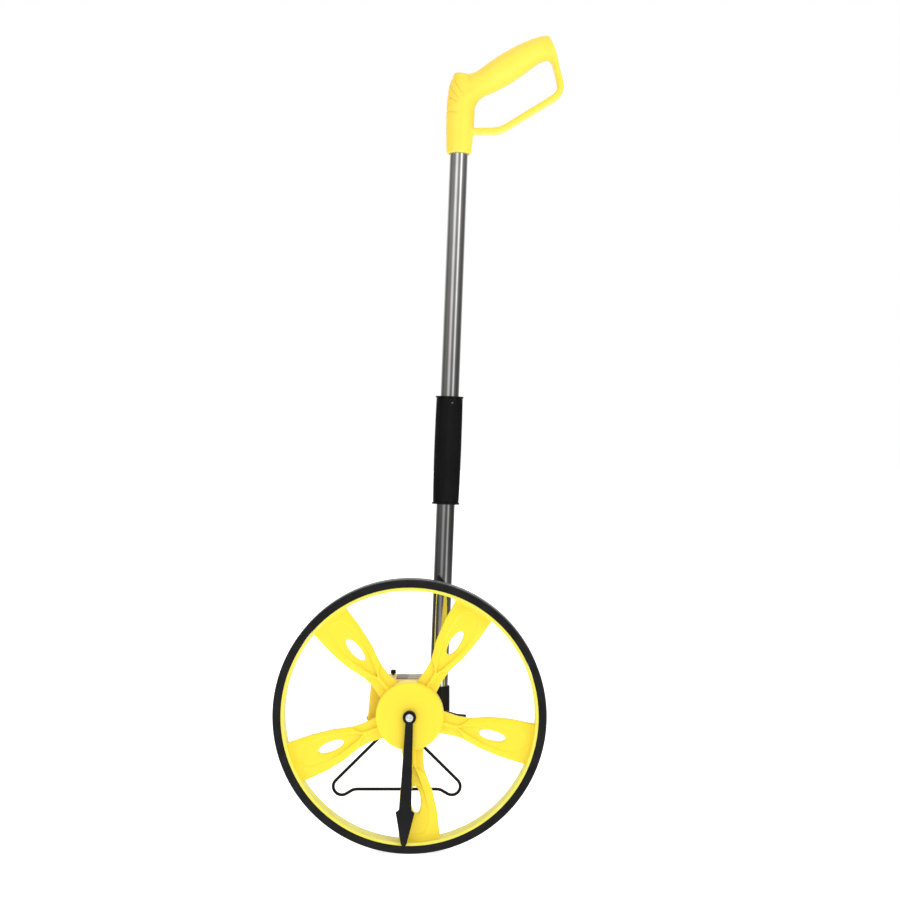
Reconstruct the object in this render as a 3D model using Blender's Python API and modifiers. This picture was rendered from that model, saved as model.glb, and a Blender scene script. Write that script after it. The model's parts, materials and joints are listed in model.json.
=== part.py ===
"""Folding measuring wheel: a one-metre wheel with a geared digit counter, a start pointer,
a kickstand and a pole that folds under a sliding sleeve.

Metres, +Z up. +Y runs along the wheel's axle, from the pointer to the counter case. The wheel
rolls along X. The origin is the centre of the axle's flat front end.
"""
import math

import bmesh
import bpy
from mathutils import Matrix, Vector

MM = 0.001
GAP = 0.0003                      # clearance between touching neighbours
COLLECTION = "measuring_wheel"

# wheel
WHEEL_RADIUS = 1.0 / (2 * math.pi)  # one metre of ground for each turn
WHEEL_FRONT = 9 * MM
WHEEL_BACK = 31 * MM
RIM_OUTER = 149.5 * MM
RIM_INNER = 146.2 * MM
WEB_FRONT = 20 * MM
WEB_BACK = 24.5 * MM
SPOKES = 5
SPOKE_ANGLE = math.radians(57.9)
HUB_RADIUS = 39.5 * MM
BOSS_RADIUS = 14.5 * MM
NECK_RADIUS = 8.6 * MM
BEARING_RADIUS = 11 * MM
BEARING_WIDTH = 7 * MM
# radius, half-width on the leading side, half-width on the trailing side
SPOKE_WIDTHS = [(36, 14.0, 12.9), (55, 12.0, 11.0), (68, 13.0, 12.0), (80, 16.3, 14.7),
                (91, 19.9, 17.7), (117, 24.0, 21.3), (148, 25.4, 23.1)]
SPOKE_HOLE_RADIUS = 99.5 * MM     # centre of the oval window in each spoke
SPOKE_HOLE = (15.4 * MM, 5.6 * MM)   # its half-length and half-width

# axle and pointer
AXLE_RADIUS = 4 * MM
AXLE_END = 84 * MM
POINTER_FRONT = 3 * MM
POINTER_BACK = 6.5 * MM
POINTER_LEAN = math.radians(2.6)
POINTER_EYE = 7.8 * MM

# counter case
CASE_LOW = Vector((-46.2, 35, -30)) * MM
CASE_HIGH = Vector((18.8, 85, 38)) * MM
CASE_FLARE = 0.094                # how fast the side away from the pole spreads downwards
CASE_SEAM = 60 * MM
CASE_WALL = 2 * MM
WINDOW_X = (-17.2 * MM, 12.6 * MM)
WINDOW_Y = (42 * MM, 78 * MM)
WINDOW_DEPTH = 2.7 * MM           # of the pane, below the top of the case
WINDOW_RISE = 1.3 * MM            # of the pane, over the top of the case
WINDOW_LIP = 1.2 * MM             # how far the pane's flange reaches under the case
KNOB_PLACE = Vector((-21.4, 75.5, 39.3)) * MM
SIDE_SCREW_PLACE = Vector((-51.2, 66, -12)) * MM
CASE_SCREWS = [(-43.2, -25.5), (14.2, -25.5), (-42.4, 31.5), (14.2, 24)]

# gear train
GEAR_TEETH = 24
GEAR_MODULE = 1 * MM
GEAR_FRONT = 39 * MM
GEAR_BACK = 44 * MM
COUNTER_AXIS = Vector((-13, 0, 20.174)) * MM
TRANSFER_AXIS = Vector((-26.8, 0, 10.5)) * MM
DRUMS = 5
DRUM_RADIUS = 12 * MM
DRUM_WIDTH = 6 * MM
DRUM_PITCH = 6.4 * MM
DRUM_FIRST = 77 * MM              # middle of the fastest drum
COUNTER_SHAFT_RADIUS = 1.5 * MM

# pole
POLE_FOOT = Vector((32.4, 60, 0)) * MM
POLE_LEAN = math.radians(2.17)
TUBE_RADIUS = 11 * MM
TUBE_BORE = 9.4 * MM
FOLD_HEIGHT = 257 * MM            # along the pole
FOLD_OFFSET = 9.5 * MM            # behind the pole's own axis
COLLAR_RADIUS = 13 * MM
COLLAR_FLAT = 9.4 * MM
LOWER_COLLAR = 12 * MM
UPPER_COLLAR = 15 * MM
EAR_RADIUS = 2.4 * MM
SLEEVE_LOW = 244.5 * MM
SLEEVE_HIGH = 373 * MM
UPPER_TUBE_TOP = 735 * MM

# grip and guard bar
GRIP_FOOT = 662.5 * MM
# radius of the socket at heights along the pole, from its top
SOCKET_PROFILE = [(8.4, 758.6), (11, 755), (13, 748.5), (15.4, 740), (16.5, 727), (17, 708),
                  (16.6, 692), (15.9, 680), (15.2, 670), (14.3, 662.5)]
# X, Z and radius along the middle of the grip
GRIP_SPINE = [(60.7, 738.3, 12.3), (73.7, 744.2, 14), (87, 748.4, 15.6), (101.5, 757, 16.5),
              (117.5, 766.1, 17), (132.5, 774.6, 16.6), (147.5, 782.6, 15.8), (165, 790.5, 15)]
# the grip's end lies flush with the guard bar's outer side
GRIP_END = [(160, 813), (173.7, 780.6), (200, 780.6), (200, 813)]
GUARD_PATH = [(66, 689), (98.8, 689), (106.8, 690.5), (113.8, 693.7)]
GUARD_BEND = (162.3, 742.6)
GUARD_BEND_RADIUS = 17
GUARD_TOP = (161.4, 797)
GUARD_THICK = 6.8 * MM
GUARD_DEPTH = 18 * MM
GRIP_SCREW_RISE = 18 * MM         # of the grip screw above the socket's foot

# bracket and reset lever
SOCKET_RADIUS = 13.5 * MM
SOCKET_PLACE = Vector((33, 60, 0)) * MM
SOCKET_LOW = -3 * MM
SOCKET_HIGH = 28 * MM
LEVER_PIVOT = Vector((13.3, 0, 13.5)) * MM
LEVER_FRONT = 41 * MM
LEVER_BACK = 44.6 * MM
# X and Z along its lower and its upper side
LEVER_LOWER = [(20, 7.2), (43, -3.2), (53, -5.4), (65.2, -7.3)]
LEVER_UPPER = [(66.2, -3.9), (54.5, -2.8), (44.6, 0.3), (21.4, 10.4)]

# kickstand
STAND_PIVOT = Vector((-17.1, 69, -33.4)) * MM
STAND_WIRE = 1.9 * MM
FOOT_RADIUS = 10.2 * MM
FOOT_CENTRE = Vector((66, -94.9)) * MM  # X from the pivot, Z in the frame
STAND_BAR = -98.2 * MM
CLIP_LOW = -37.2 * MM

for old in list(bpy.data.objects):
    bpy.data.objects.remove(old, do_unlink=True)


def new_collection(name):
    collection = bpy.data.collections.new(name)
    bpy.context.scene.collection.children.link(collection)
    return collection


PARTS = new_collection(COLLECTION)
CUTTERS = new_collection("cutters")


def material(name, colour, roughness, metallic=0.0, alpha=1.0):
    made = bpy.data.materials.new(name)
    made.use_nodes = True
    shader = made.node_tree.nodes["Principled BSDF"]
    shader.inputs["Base Color"].default_value = (*colour, 1)
    shader.inputs["Roughness"].default_value = roughness
    shader.inputs["Metallic"].default_value = metallic
    shader.inputs["Alpha"].default_value = alpha
    return made


YELLOW = (0.93, 0.55, 0.01)
BLACK = (0.02, 0.02, 0.023)
STEEL = (0.72, 0.72, 0.74)


def link(obj, name, collection):
    obj.name = name
    for home in list(obj.users_collection):
        home.objects.unlink(obj)
    collection.objects.link(obj)
    return obj


def finish(obj, colour, roughness, metallic=0.0, alpha=1.0):
    """Give a part its own material and smooth its round faces."""
    obj.data.materials.clear()
    obj.data.materials.append(material(obj.name, colour, roughness, metallic, alpha))
    obj.data.shade_smooth()
    obj.data.set_sharp_from_angle(angle=math.radians(35))
    return obj


def mesh_object(name, work, collection):
    mesh = bpy.data.meshes.new(name)
    work.to_mesh(mesh)
    work.free()
    obj = bpy.data.objects.new(name, mesh)
    collection.objects.link(obj)
    return obj


def block(name, low, high, collection=None, open_side=None):
    """A box between two corners. open_side leaves out the face that looks along that vector."""
    low, high = Vector(low), Vector(high)
    work = bmesh.new()
    bmesh.ops.create_cube(work, size=1)
    bmesh.ops.scale(work, vec=high - low, verts=work.verts)
    if open_side is not None:
        faces = [face for face in work.faces if face.normal.dot(Vector(open_side)) > 0.9]
        bmesh.ops.delete(work, geom=faces, context="FACES_ONLY")
    obj = mesh_object(name, work, collection or PARTS)
    obj.location = (low + high) / 2
    return obj


AXIS_TURN = {"X": Matrix.Rotation(math.radians(90), 4, "Y"),
             "Y": Matrix.Rotation(math.radians(-90), 4, "X"),
             "Z": Matrix.Identity(4)}


def turned(name, profile, place, along="Y", steps=32, collection=None):
    """A turned piece. The profile lists (radius, distance along the axis) down the outer side
    from the far end to the near end. It closes on itself unless both its ends are on the axis."""
    work = bmesh.new()
    verts = [work.verts.new((radius, 0, height)) for radius, height in profile]
    pairs = list(zip(verts, verts[1:]))
    if profile[0][0] > 0:
        pairs.append((verts[-1], verts[0]))
    for pair in pairs:
        work.edges.new(pair)
    obj = mesh_object(name, work, collection or PARTS)
    screw = obj.modifiers.new("turn", "SCREW")
    screw.steps = steps
    screw.render_steps = steps
    screw.use_merge_vertices = True
    screw.merge_threshold = 0.00001
    obj.matrix_world = Matrix.Translation(place) @ AXIS_TURN[along]
    return obj


def ring(name, outer, inner, start, end, place, along="Y", steps=32, collection=None):
    """A plain ring, or a disc or rod when the inner radius is nothing."""
    if inner:
        profile = [(outer, end), (outer, start), (inner, start), (inner, end)]
    else:
        profile = [(0, end), (outer, end), (outer, start), (0, start)]
    return turned(name, profile, place, along, steps, collection)


def curve_mesh(obj, name, collection):
    """Replace a curve object by its welded mesh."""
    bpy.context.view_layer.update()
    evaluated = obj.evaluated_get(bpy.context.evaluated_depsgraph_get())
    mesh = bpy.data.meshes.new_from_object(evaluated)
    work = bmesh.new()
    work.from_mesh(mesh)
    bmesh.ops.remove_doubles(work, verts=work.verts, dist=0.00001)
    work.to_mesh(mesh)
    work.free()
    made = bpy.data.objects.new(name, mesh)
    made.matrix_world = obj.matrix_world
    collection.objects.link(made)
    bpy.data.objects.remove(obj, do_unlink=True)
    made.name = name
    return made


def plate(name, outlines, front, back, collection=None, along="Y"):
    """A flat plate. Its outlines lie in the X-Z plane, or in Y-Z when it faces along X."""
    curve = bpy.data.curves.new(name, "CURVE")
    curve.dimensions = "2D"
    curve.fill_mode = "BOTH"
    curve.extrude = (back - front) / 2
    for outline in outlines:
        spline = curve.splines.new("POLY")
        spline.points.add(len(outline) - 1)
        spline.use_cyclic_u = True
        for point, (x, z) in zip(spline.points, outline):
            point.co = (x, z, 0, 1)
    obj = bpy.data.objects.new(name, curve)
    PARTS.objects.link(obj)
    middle = (front + back) / 2
    stand_up = Matrix.Rotation(math.radians(90), 4, "X")
    if along == "Y":
        obj.matrix_world = Matrix.Translation((0, middle, 0)) @ stand_up
    else:
        quarter = Matrix.Rotation(math.radians(90), 4, "Z")
        obj.matrix_world = Matrix.Translation((middle, 0, 0)) @ quarter @ stand_up
    return curve_mesh(obj, name, collection or PARTS)


def wire(name, points, radius, sizes=None, resolution=2, collection=None):
    """A round wire or rod along a list of points."""
    curve = bpy.data.curves.new(name, "CURVE")
    curve.dimensions = "3D"
    curve.bevel_depth = radius
    curve.bevel_resolution = resolution
    curve.use_fill_caps = True
    spline = curve.splines.new("POLY")
    spline.points.add(len(points) - 1)
    for index, place in enumerate(points):
        spline.points[index].co = (*place, 1)
        spline.points[index].radius = sizes[index] if sizes else 1.0
    obj = bpy.data.objects.new(name, curve)
    PARTS.objects.link(obj)
    return curve_mesh(obj, name, collection or PARTS)


def combine(obj, other, operation):
    """Cut the other shape from a part, or join it on, and keep the shape as a guide."""
    if other.name not in CUTTERS.objects:
        link(other, other.name, CUTTERS)
    other.hide_render = True
    other.display_type = "WIRE"
    step = obj.modifiers.new(operation.lower(), "BOOLEAN")
    step.operation = operation
    step.solver = "EXACT"
    step.object = other
    return obj


def cut(obj, *others):
    for other in others:
        combine(obj, other, "DIFFERENCE")
    return obj


def join(obj, *others):
    for other in others:
        combine(obj, other, "UNION")
    return obj


def bevel(obj, width, segments=2, angle=30):
    step = obj.modifiers.new("bevel", "BEVEL")
    step.width = width
    step.segments = segments
    step.limit_method = "ANGLE"
    step.angle_limit = math.radians(angle)
    step.use_clamp_overlap = True
    return obj


def round_edges(obj, width, segments, open_side):
    """Round a box's edges, apart from those on one side."""
    work = bmesh.new()
    work.from_mesh(obj.data)
    facing = [face for face in work.faces if face.normal.dot(Vector(open_side)) > 0.9]
    kept = {edge for face in facing for edge in face.edges}
    bmesh.ops.bevel(work, geom=[edge for edge in work.edges if edge not in kept],
                    offset=width, segments=segments, profile=0.5, affect="EDGES")
    work.to_mesh(obj.data)
    work.free()


def arc(centre, radius, start, end, steps):
    """Points on an arc in the X-Z plane, with angles in degrees."""
    turns = [math.radians(start + (end - start) * step / steps) for step in range(steps + 1)]
    return [(centre[0] + radius * math.cos(a), centre[1] + radius * math.sin(a)) for a in turns]


def between(table, at, column):
    """Smooth value of one column of a table at a given first-column value."""
    for low, high in zip(table, table[1:]):
        if at <= high[0]:
            share = (at - low[0]) / (high[0] - low[0])
            share = share * share * (3 - 2 * share)
            return low[column] + (high[column] - low[column]) * share
    return table[-1][column]


def empty(name, place, turn=None):
    pivot = bpy.data.objects.new(name, None)
    pivot.matrix_world = Matrix.Translation(place) @ (turn or Matrix.Identity(4))
    pivot.empty_display_size = 0.02
    PARTS.objects.link(pivot)
    return pivot


def carry(pivot, *objects):
    """Parent objects to an empty on their joint's axis and leave them where they are."""
    bpy.context.view_layer.update()
    for obj in objects:
        obj.parent = pivot
        obj.matrix_parent_inverse = pivot.matrix_world.inverted()


ORIGIN = Vector((0, 0, 0))


# --- wheel -------------------------------------------------------------------------------

def spoke_side(spoke, side, radii):
    """Points along one long edge of a spoke."""
    middle = SPOKE_ANGLE + spoke * math.tau / SPOKES
    points = []
    for radius in radii:
        half = between(SPOKE_WIDTHS, radius, 1 if side > 0 else 2)
        angle = middle + side * math.asin(half / radius)
        points.append((radius * MM * math.cos(angle), radius * MM * math.sin(angle)))
    return points


def wheel_web():
    """The flat web: outer edge, five gaps between the spokes and an oval in each spoke."""
    outlines = [arc((0, 0), 147.5 * MM, 0, 354, 59)]
    radii = [39.5, 48, 57, 66, 75, 85, 97, 112, 128, 145.6]
    for spoke in range(SPOKES):
        rising = spoke_side(spoke, 1, radii)
        falling = spoke_side(spoke + 1, -1, radii[::-1])
        start = math.degrees(math.atan2(rising[-1][1], rising[-1][0]))
        end = math.degrees(math.atan2(falling[0][1], falling[0][0]))
        end += 360 if end < start else 0
        outlines.append(rising + arc((0, 0), RIM_INNER, start + 1.5, end - 1.5, 6) + falling)
        middle = math.degrees(SPOKE_ANGLE) + spoke * 360 / SPOKES
        turn = Matrix.Rotation(math.radians(middle), 2)
        oval = [turn @ Vector((SPOKE_HOLE_RADIUS + SPOKE_HOLE[0] * math.cos(a),
                               SPOKE_HOLE[1] * math.sin(a)))
                for a in (step * math.tau / 12 for step in range(12))]
        outlines.append([tuple(point) for point in oval])
    return plate("web_shape", outlines, WEB_FRONT, WEB_BACK, CUTTERS)


def make_wheel():
    wheel = turned("wheel", [(RIM_OUTER, WHEEL_BACK), (RIM_OUTER, WHEEL_FRONT),
                             (RIM_INNER, WHEEL_FRONT), (RIM_INNER, WHEEL_BACK)],
                   ORIGIN, steps=60)
    join(wheel, wheel_web())
    boss = turned("boss_shape", [(BOSS_RADIUS, 33.5 * MM), (BOSS_RADIUS, 12.2 * MM),
                                 (5 * MM, 12.2 * MM), (5 * MM, 45 * MM),
                                 (NECK_RADIUS, 45 * MM), (NECK_RADIUS, 33.5 * MM)], ORIGIN, steps=20,
                  collection=CUTTERS)
    join(wheel, boss)
    cut(wheel,
        ring("bearing_bore", BEARING_RADIUS + GAP, 0, 0, 31.8 * MM, ORIGIN, steps=20,
             collection=CUTTERS),
        ring("neck_bore", 6.6 * MM, 0, 0, 60 * MM, ORIGIN, steps=20, collection=CUTTERS))
    finish(wheel, YELLOW, 0.35)

    tyre = turned("tyre", [(WHEEL_RADIUS - 1 * MM, WHEEL_BACK), (WHEEL_RADIUS, WHEEL_BACK - 1 * MM),
                           (WHEEL_RADIUS, WHEEL_FRONT + 1 * MM),
                           (WHEEL_RADIUS - 1 * MM, WHEEL_FRONT),
                           (RIM_OUTER + GAP, WHEEL_FRONT), (RIM_OUTER + GAP, WHEEL_BACK)],
                  ORIGIN, steps=64)
    finish(tyre, BLACK, 0.8)

    cap = turned("hub_cap", [(HUB_RADIUS, WEB_FRONT - GAP), (HUB_RADIUS, 11.2 * MM),
                             (HUB_RADIUS - 1.2 * MM, 10 * MM), (7.3 * MM, 10 * MM),
                             (7.3 * MM, 11.8 * MM), (HUB_RADIUS - 2 * MM, 11.8 * MM),
                             (HUB_RADIUS - 2 * MM, WEB_FRONT - GAP)], ORIGIN, steps=36)
    finish(cap, YELLOW, 0.3)

    pieces = [wheel, tyre, cap]
    for name, start in (("bearing_front", 12.5 * MM), ("bearing_rear", 24.5 * MM)):
        pieces.append(finish(ring(name, BEARING_RADIUS, AXLE_RADIUS + GAP, start,
                                  start + BEARING_WIDTH, ORIGIN, steps=20), STEEL, 0.3, 1.0))
    pieces.append(finish(ring("bearing_spacer", 6.2 * MM, AXLE_RADIUS + GAP,
                              12.8 * MM + BEARING_WIDTH, 24.2 * MM, ORIGIN, steps=20),
                         STEEL, 0.4, 1.0))
    pieces.append(make_gear("drive_gear", ORIGIN, NECK_RADIUS + GAP, math.pi / GEAR_TEETH))
    carry(empty("wheel_axis", ORIGIN), *pieces)


# --- gear train --------------------------------------------------------------------------

def tooth_points(teeth, module, phase, root_share=0.22, tip_share=0.10):
    """Outline of a spur gear with straight flanks, thin enough to run with play."""
    pitch = math.tau / teeth
    root = module * (teeth / 2 - 1.2)
    tip = module * (teeth / 2 + 0.9)
    corners = [(root, -root_share), (tip, -tip_share), (tip, tip_share), (root, root_share)]
    return [(radius * math.cos(phase + pitch * (tooth + share)),
             radius * math.sin(phase + pitch * (tooth + share)))
            for tooth in range(teeth) for radius, share in corners]


def make_gear(name, centre, bore, phase):
    outline = [(centre[0] + x, centre[2] + z)
               for x, z in tooth_points(GEAR_TEETH, GEAR_MODULE, phase)]
    hole = arc((centre[0], centre[2]), bore, 0, 345, 23)
    return finish(plate(name, [outline, hole], GEAR_FRONT, GEAR_BACK), (0.85, 0.85, 0.82), 0.5)


def make_counter():
    line = math.atan2(COUNTER_AXIS.z, COUNTER_AXIS.x)
    pitch = math.tau / GEAR_TEETH
    drive_phase = math.pi / GEAR_TEETH
    # the driven gear shows a gap where the driving gear shows a tooth
    offset = (drive_phase - line) % pitch
    driven_phase = line + math.pi + pitch / 2 - offset
    shaft = ring("counter_shaft", COUNTER_SHAFT_RADIUS, 0, 38 * MM, 82.4 * MM, COUNTER_AXIS,
                 steps=16)
    finish(shaft, STEEL, 0.3, 1.0)
    gear = make_gear("input_gear", COUNTER_AXIS, COUNTER_SHAFT_RADIUS + GAP, driven_phase)
    drums = []
    for index in range(DRUMS):
        middle = DRUM_FIRST - index * DRUM_PITCH
        drums.append(finish(ring(f"digit_wheel_{index + 1}", DRUM_RADIUS,
                                 COUNTER_SHAFT_RADIUS + GAP, middle - DRUM_WIDTH / 2,
                                 middle + DRUM_WIDTH / 2, COUNTER_AXIS, steps=20),
                            (0.9, 0.9, 0.86) if index else (0.8, 0.1, 0.08), 0.4))
    carry(empty("counter_axis", COUNTER_AXIS), shaft, gear, *drums)

    rod = ring("transfer_shaft", 1 * MM, 0, 45.2 * MM, 82.4 * MM, TRANSFER_AXIS, steps=12)
    finish(rod, STEEL, 0.3, 1.0)
    pinions = []
    for index in range(DRUMS - 1):
        middle = DRUM_FIRST - (index + 0.5) * DRUM_PITCH
        outline = [(TRANSFER_AXIS.x + x, TRANSFER_AXIS.z + z)
                   for x, z in tooth_points(8, 0.85 * MM, 0, 0.24, 0.14)]
        hole = arc((TRANSFER_AXIS.x, TRANSFER_AXIS.z), 1 * MM + GAP, 0, 330, 11)
        pinions.append(finish(plate(f"transfer_pinion_{index + 1}", [outline, hole],
                                    middle - 2.6 * MM, middle + 2.6 * MM), BLACK, 0.5))
    carry(empty("transfer_axis", TRANSFER_AXIS), *pinions)

    low, high = Vector((-31, 46, 3.6)) * MM, Vector((-10.2, 81.8, 31)) * MM
    wall = 1.2 * MM
    frame = block("counter_frame", low, high)
    cut(frame, block("frame_inside", (low.x - wall, low.y + wall, low.z + wall),
                     (high.x + wall, high.y - wall, high.z + wall), CUTTERS))
    cut(frame,
        ring("shaft_hole", COUNTER_SHAFT_RADIUS + 0.4 * MM, 0, 40 * MM, 90 * MM, COUNTER_AXIS,
             steps=16, collection=CUTTERS),
        ring("rod_hole", 1 * MM + GAP, 0, 40 * MM, 90 * MM, TRANSFER_AXIS, steps=12,
             collection=CUTTERS))
    finish(frame, STEEL, 0.45, 1.0)


# --- axle and pointer --------------------------------------------------------------------

def make_axle():
    axle = turned("axle", [(0, AXLE_END), (AXLE_RADIUS - 0.5 * MM, AXLE_END),
                           (AXLE_RADIUS, AXLE_END - 0.5 * MM), (AXLE_RADIUS, 7 * MM),
                           (4.35 * MM, 7 * MM), (4.35 * MM, 0.4 * MM), (3.95 * MM, 0), (0, 0)],
                  ORIGIN, steps=24)
    finish(axle, STEEL, 0.2, 1.0)

    eye = arc((0, 0), POINTER_EYE, 237, -57, 20)
    half = [(4.4, -6.4), (5.2, -40), (6.9, -103), (10.9, -110), (3.2, -146.5), (1.6, -148)]
    right = [(x * MM, z * MM) for x, z in half]
    left = [(-x, z) for x, z in reversed(right)]
    outline = eye + right + left
    hole = arc((0, 0), 4.65 * MM, 0, 345, 23)
    pointer = plate("pointer", [outline, hole], POINTER_FRONT, POINTER_BACK)
    pointer.matrix_world = Matrix.Rotation(POINTER_LEAN, 4, "Y") @ pointer.matrix_world
    finish(pointer, BLACK, 0.35)

    inner = AXLE_RADIUS + GAP
    finish(ring("pointer_spacer", 6.8 * MM, inner, POINTER_BACK + GAP + 0.6 * MM, 12.2 * MM,
                ORIGIN, steps=24), STEEL, 0.35, 1.0)
    finish(ring("axle_sleeve", 6 * MM, inner, 31.8 * MM, 63.7 * MM, ORIGIN, steps=24),
           STEEL, 0.4, 1.0)
    nut = plate("axle_nut", [arc((0, 0), 7.5 * MM, 0, 300, 5),
                             arc((0, 0), inner + 0.1 * MM, 0, 345, 23)], 78.6 * MM, 83.4 * MM)
    finish(nut, STEEL, 0.3, 1.0)


# --- counter case ------------------------------------------------------------------------

def flare(obj):
    """Spread a box of the case towards its foot, on the side away from the pole."""
    for vert in obj.data.vertices:
        place = vert.co + obj.location
        if place.x < 0:
            vert.co.x -= CASE_FLARE * (CASE_HIGH.z - place.z)
    return obj


def case_half(name, low, high, open_side, posts, *openings):
    """One shell of the case: a box with round edges, hollowed out, with screw posts."""
    shell = block(name, low, high)
    round_edges(shell, 3 * MM, 2, open_side)
    flare(shell)
    wall = Vector((CASE_WALL, CASE_WALL, CASE_WALL))
    inner_low, inner_high = low + wall, high - wall
    if open_side[1] > 0:
        inner_high.y = high.y + CASE_WALL
    else:
        inner_low.y = low.y - CASE_WALL
    inside = flare(block(f"{name}_inside", inner_low, inner_high, CUTTERS))
    cut(shell, inside, *openings)
    for number, (x, z) in enumerate(CASE_SCREWS):
        join(shell, ring(f"{name}_post_{number + 1}", 3.2 * MM, 0, posts[0], posts[1],
                         (x * MM, 0, z * MM), steps=12, collection=CUTTERS))
    return shell


def make_case():
    seam_gap = GAP / 2
    window = block("window_opening", (WINDOW_X[0], WINDOW_Y[0], 30 * MM),
                   (WINDOW_X[1], WINDOW_Y[1], 40 * MM), CUTTERS)
    knob_hole = ring("knob_hole", 1.8 * MM, 0, 20 * MM, 45 * MM, (KNOB_PLACE.x, KNOB_PLACE.y, 0),
                     "Z", 12, CUTTERS)
    side_hole = ring("side_hole", 1.3 * MM, 0, -3 * MM, 6 * MM, SIDE_SCREW_PLACE, "X", 12, CUTTERS)
    front_high = Vector((CASE_HIGH.x, CASE_SEAM - seam_gap, CASE_HIGH.z))
    rear_low = Vector((CASE_LOW.x, CASE_SEAM + seam_gap, CASE_LOW.z))
    front = case_half("housing_front", CASE_LOW, front_high, (0, 1, 0),
                      (36 * MM, CASE_SEAM - seam_gap), window)
    rear = case_half("housing_rear", rear_low, CASE_HIGH, (0, -1, 0),
                     (CASE_SEAM + seam_gap, 84 * MM), window, knob_hole, side_hole)
    screws = [ring(f"case_screw_hole_{number + 1}", 1.7 * MM, 0, 44 * MM, 90 * MM,
                   (x * MM, 0, z * MM), steps=10, collection=CUTTERS)
              for number, (x, z) in enumerate(CASE_SCREWS)]
    cut(front, *screws)
    cut(front,
        ring("gear_opening", 10.5 * MM, 0, 30 * MM, 40 * MM, ORIGIN, collection=CUTTERS),
        block("lever_slot", Vector((14, 40.4, 4.5)) * MM, Vector((22, 45.2, 15.5)) * MM, CUTTERS))
    join(rear, turned("axle_boss", [(0, 84 * MM), (10.5 * MM, 84 * MM), (10.5 * MM, 76 * MM),
                                    (7.2 * MM, 76 * MM), (7.2 * MM, 64 * MM), (0, 64 * MM)],
                      ORIGIN, steps=16, collection=CUTTERS))
    cut(rear, *screws)
    cut(rear,
        turned("axle_hole", [(0, 90 * MM), (8.3 * MM, 90 * MM), (8.3 * MM, 78.3 * MM),
                             (AXLE_RADIUS + GAP, 78.3 * MM), (AXLE_RADIUS + GAP, 60 * MM),
                             (0, 60 * MM)], ORIGIN, steps=20, collection=CUTTERS))
    for number, (x, z) in enumerate(CASE_SCREWS):
        cut(rear, ring(f"head_pocket_{number + 1}", 2.9 * MM, 0, 83.2 * MM, 90 * MM,
                       (x * MM, 0, z * MM), steps=12, collection=CUTTERS))
        finish(turned(f"housing_screw_{number + 1}", [
            (0, 84.8 * MM), (2.6 * MM, 84.8 * MM), (2.6 * MM, 83.5 * MM), (1.4 * MM, 83.5 * MM),
            (1.4 * MM, 46 * MM), (0, 46 * MM)], (x * MM, 0, z * MM), steps=12),
            STEEL, 0.35, 1.0)
    finish(front, YELLOW, 0.4)
    finish(rear, YELLOW, 0.4)

    pane_low = CASE_HIGH.z - WINDOW_DEPTH
    pane = block("window", (WINDOW_X[0] + GAP, WINDOW_Y[0] + GAP, pane_low),
                 (WINDOW_X[1] - GAP, WINDOW_Y[1] - GAP, CASE_HIGH.z + WINDOW_RISE))
    join(pane, block("window_flange",
                     (WINDOW_X[0] - WINDOW_LIP, WINDOW_Y[0] - WINDOW_LIP, pane_low - 0.4 * MM),
                     (WINDOW_X[1] + WINDOW_LIP, WINDOW_Y[1] + WINDOW_LIP, pane_low + 0.4 * MM),
                     CUTTERS))
    finish(pane, (0.9, 0.88, 0.8), 0.08, alpha=0.35)

    finish(turned("window_knob", [(0, 4.8 * MM), (2.4 * MM, 4.8 * MM), (3.2 * MM, 4 * MM),
                                  (3.2 * MM, 0), (1.5 * MM, 0), (1.5 * MM, -4.2 * MM),
                                  (0, -4.2 * MM)], KNOB_PLACE, "Z", 16), BLACK, 0.4)
    finish(turned("side_screw", [(0, 4 * MM), (1 * MM, 4 * MM), (1 * MM, 0), (2.4 * MM, 0),
                                 (2.4 * MM, -1.4 * MM), (1.6 * MM, -2.2 * MM), (0, -2.2 * MM)],
                  SIDE_SCREW_PLACE, "X", 12), STEEL, 0.35, 1.0)


# --- bracket, pole and sleeve -------------------------------------------------------------

def pole_matrix():
    return Matrix.Translation(POLE_FOOT) @ Matrix.Rotation(POLE_LEAN, 4, "Y")


def lean(*objects):
    """Turn objects made about the vertical axis so that they lie along the leaning pole."""
    bpy.context.view_layer.update()
    for obj in objects:
        obj.matrix_world = pole_matrix() @ obj.matrix_world
    return objects


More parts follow.
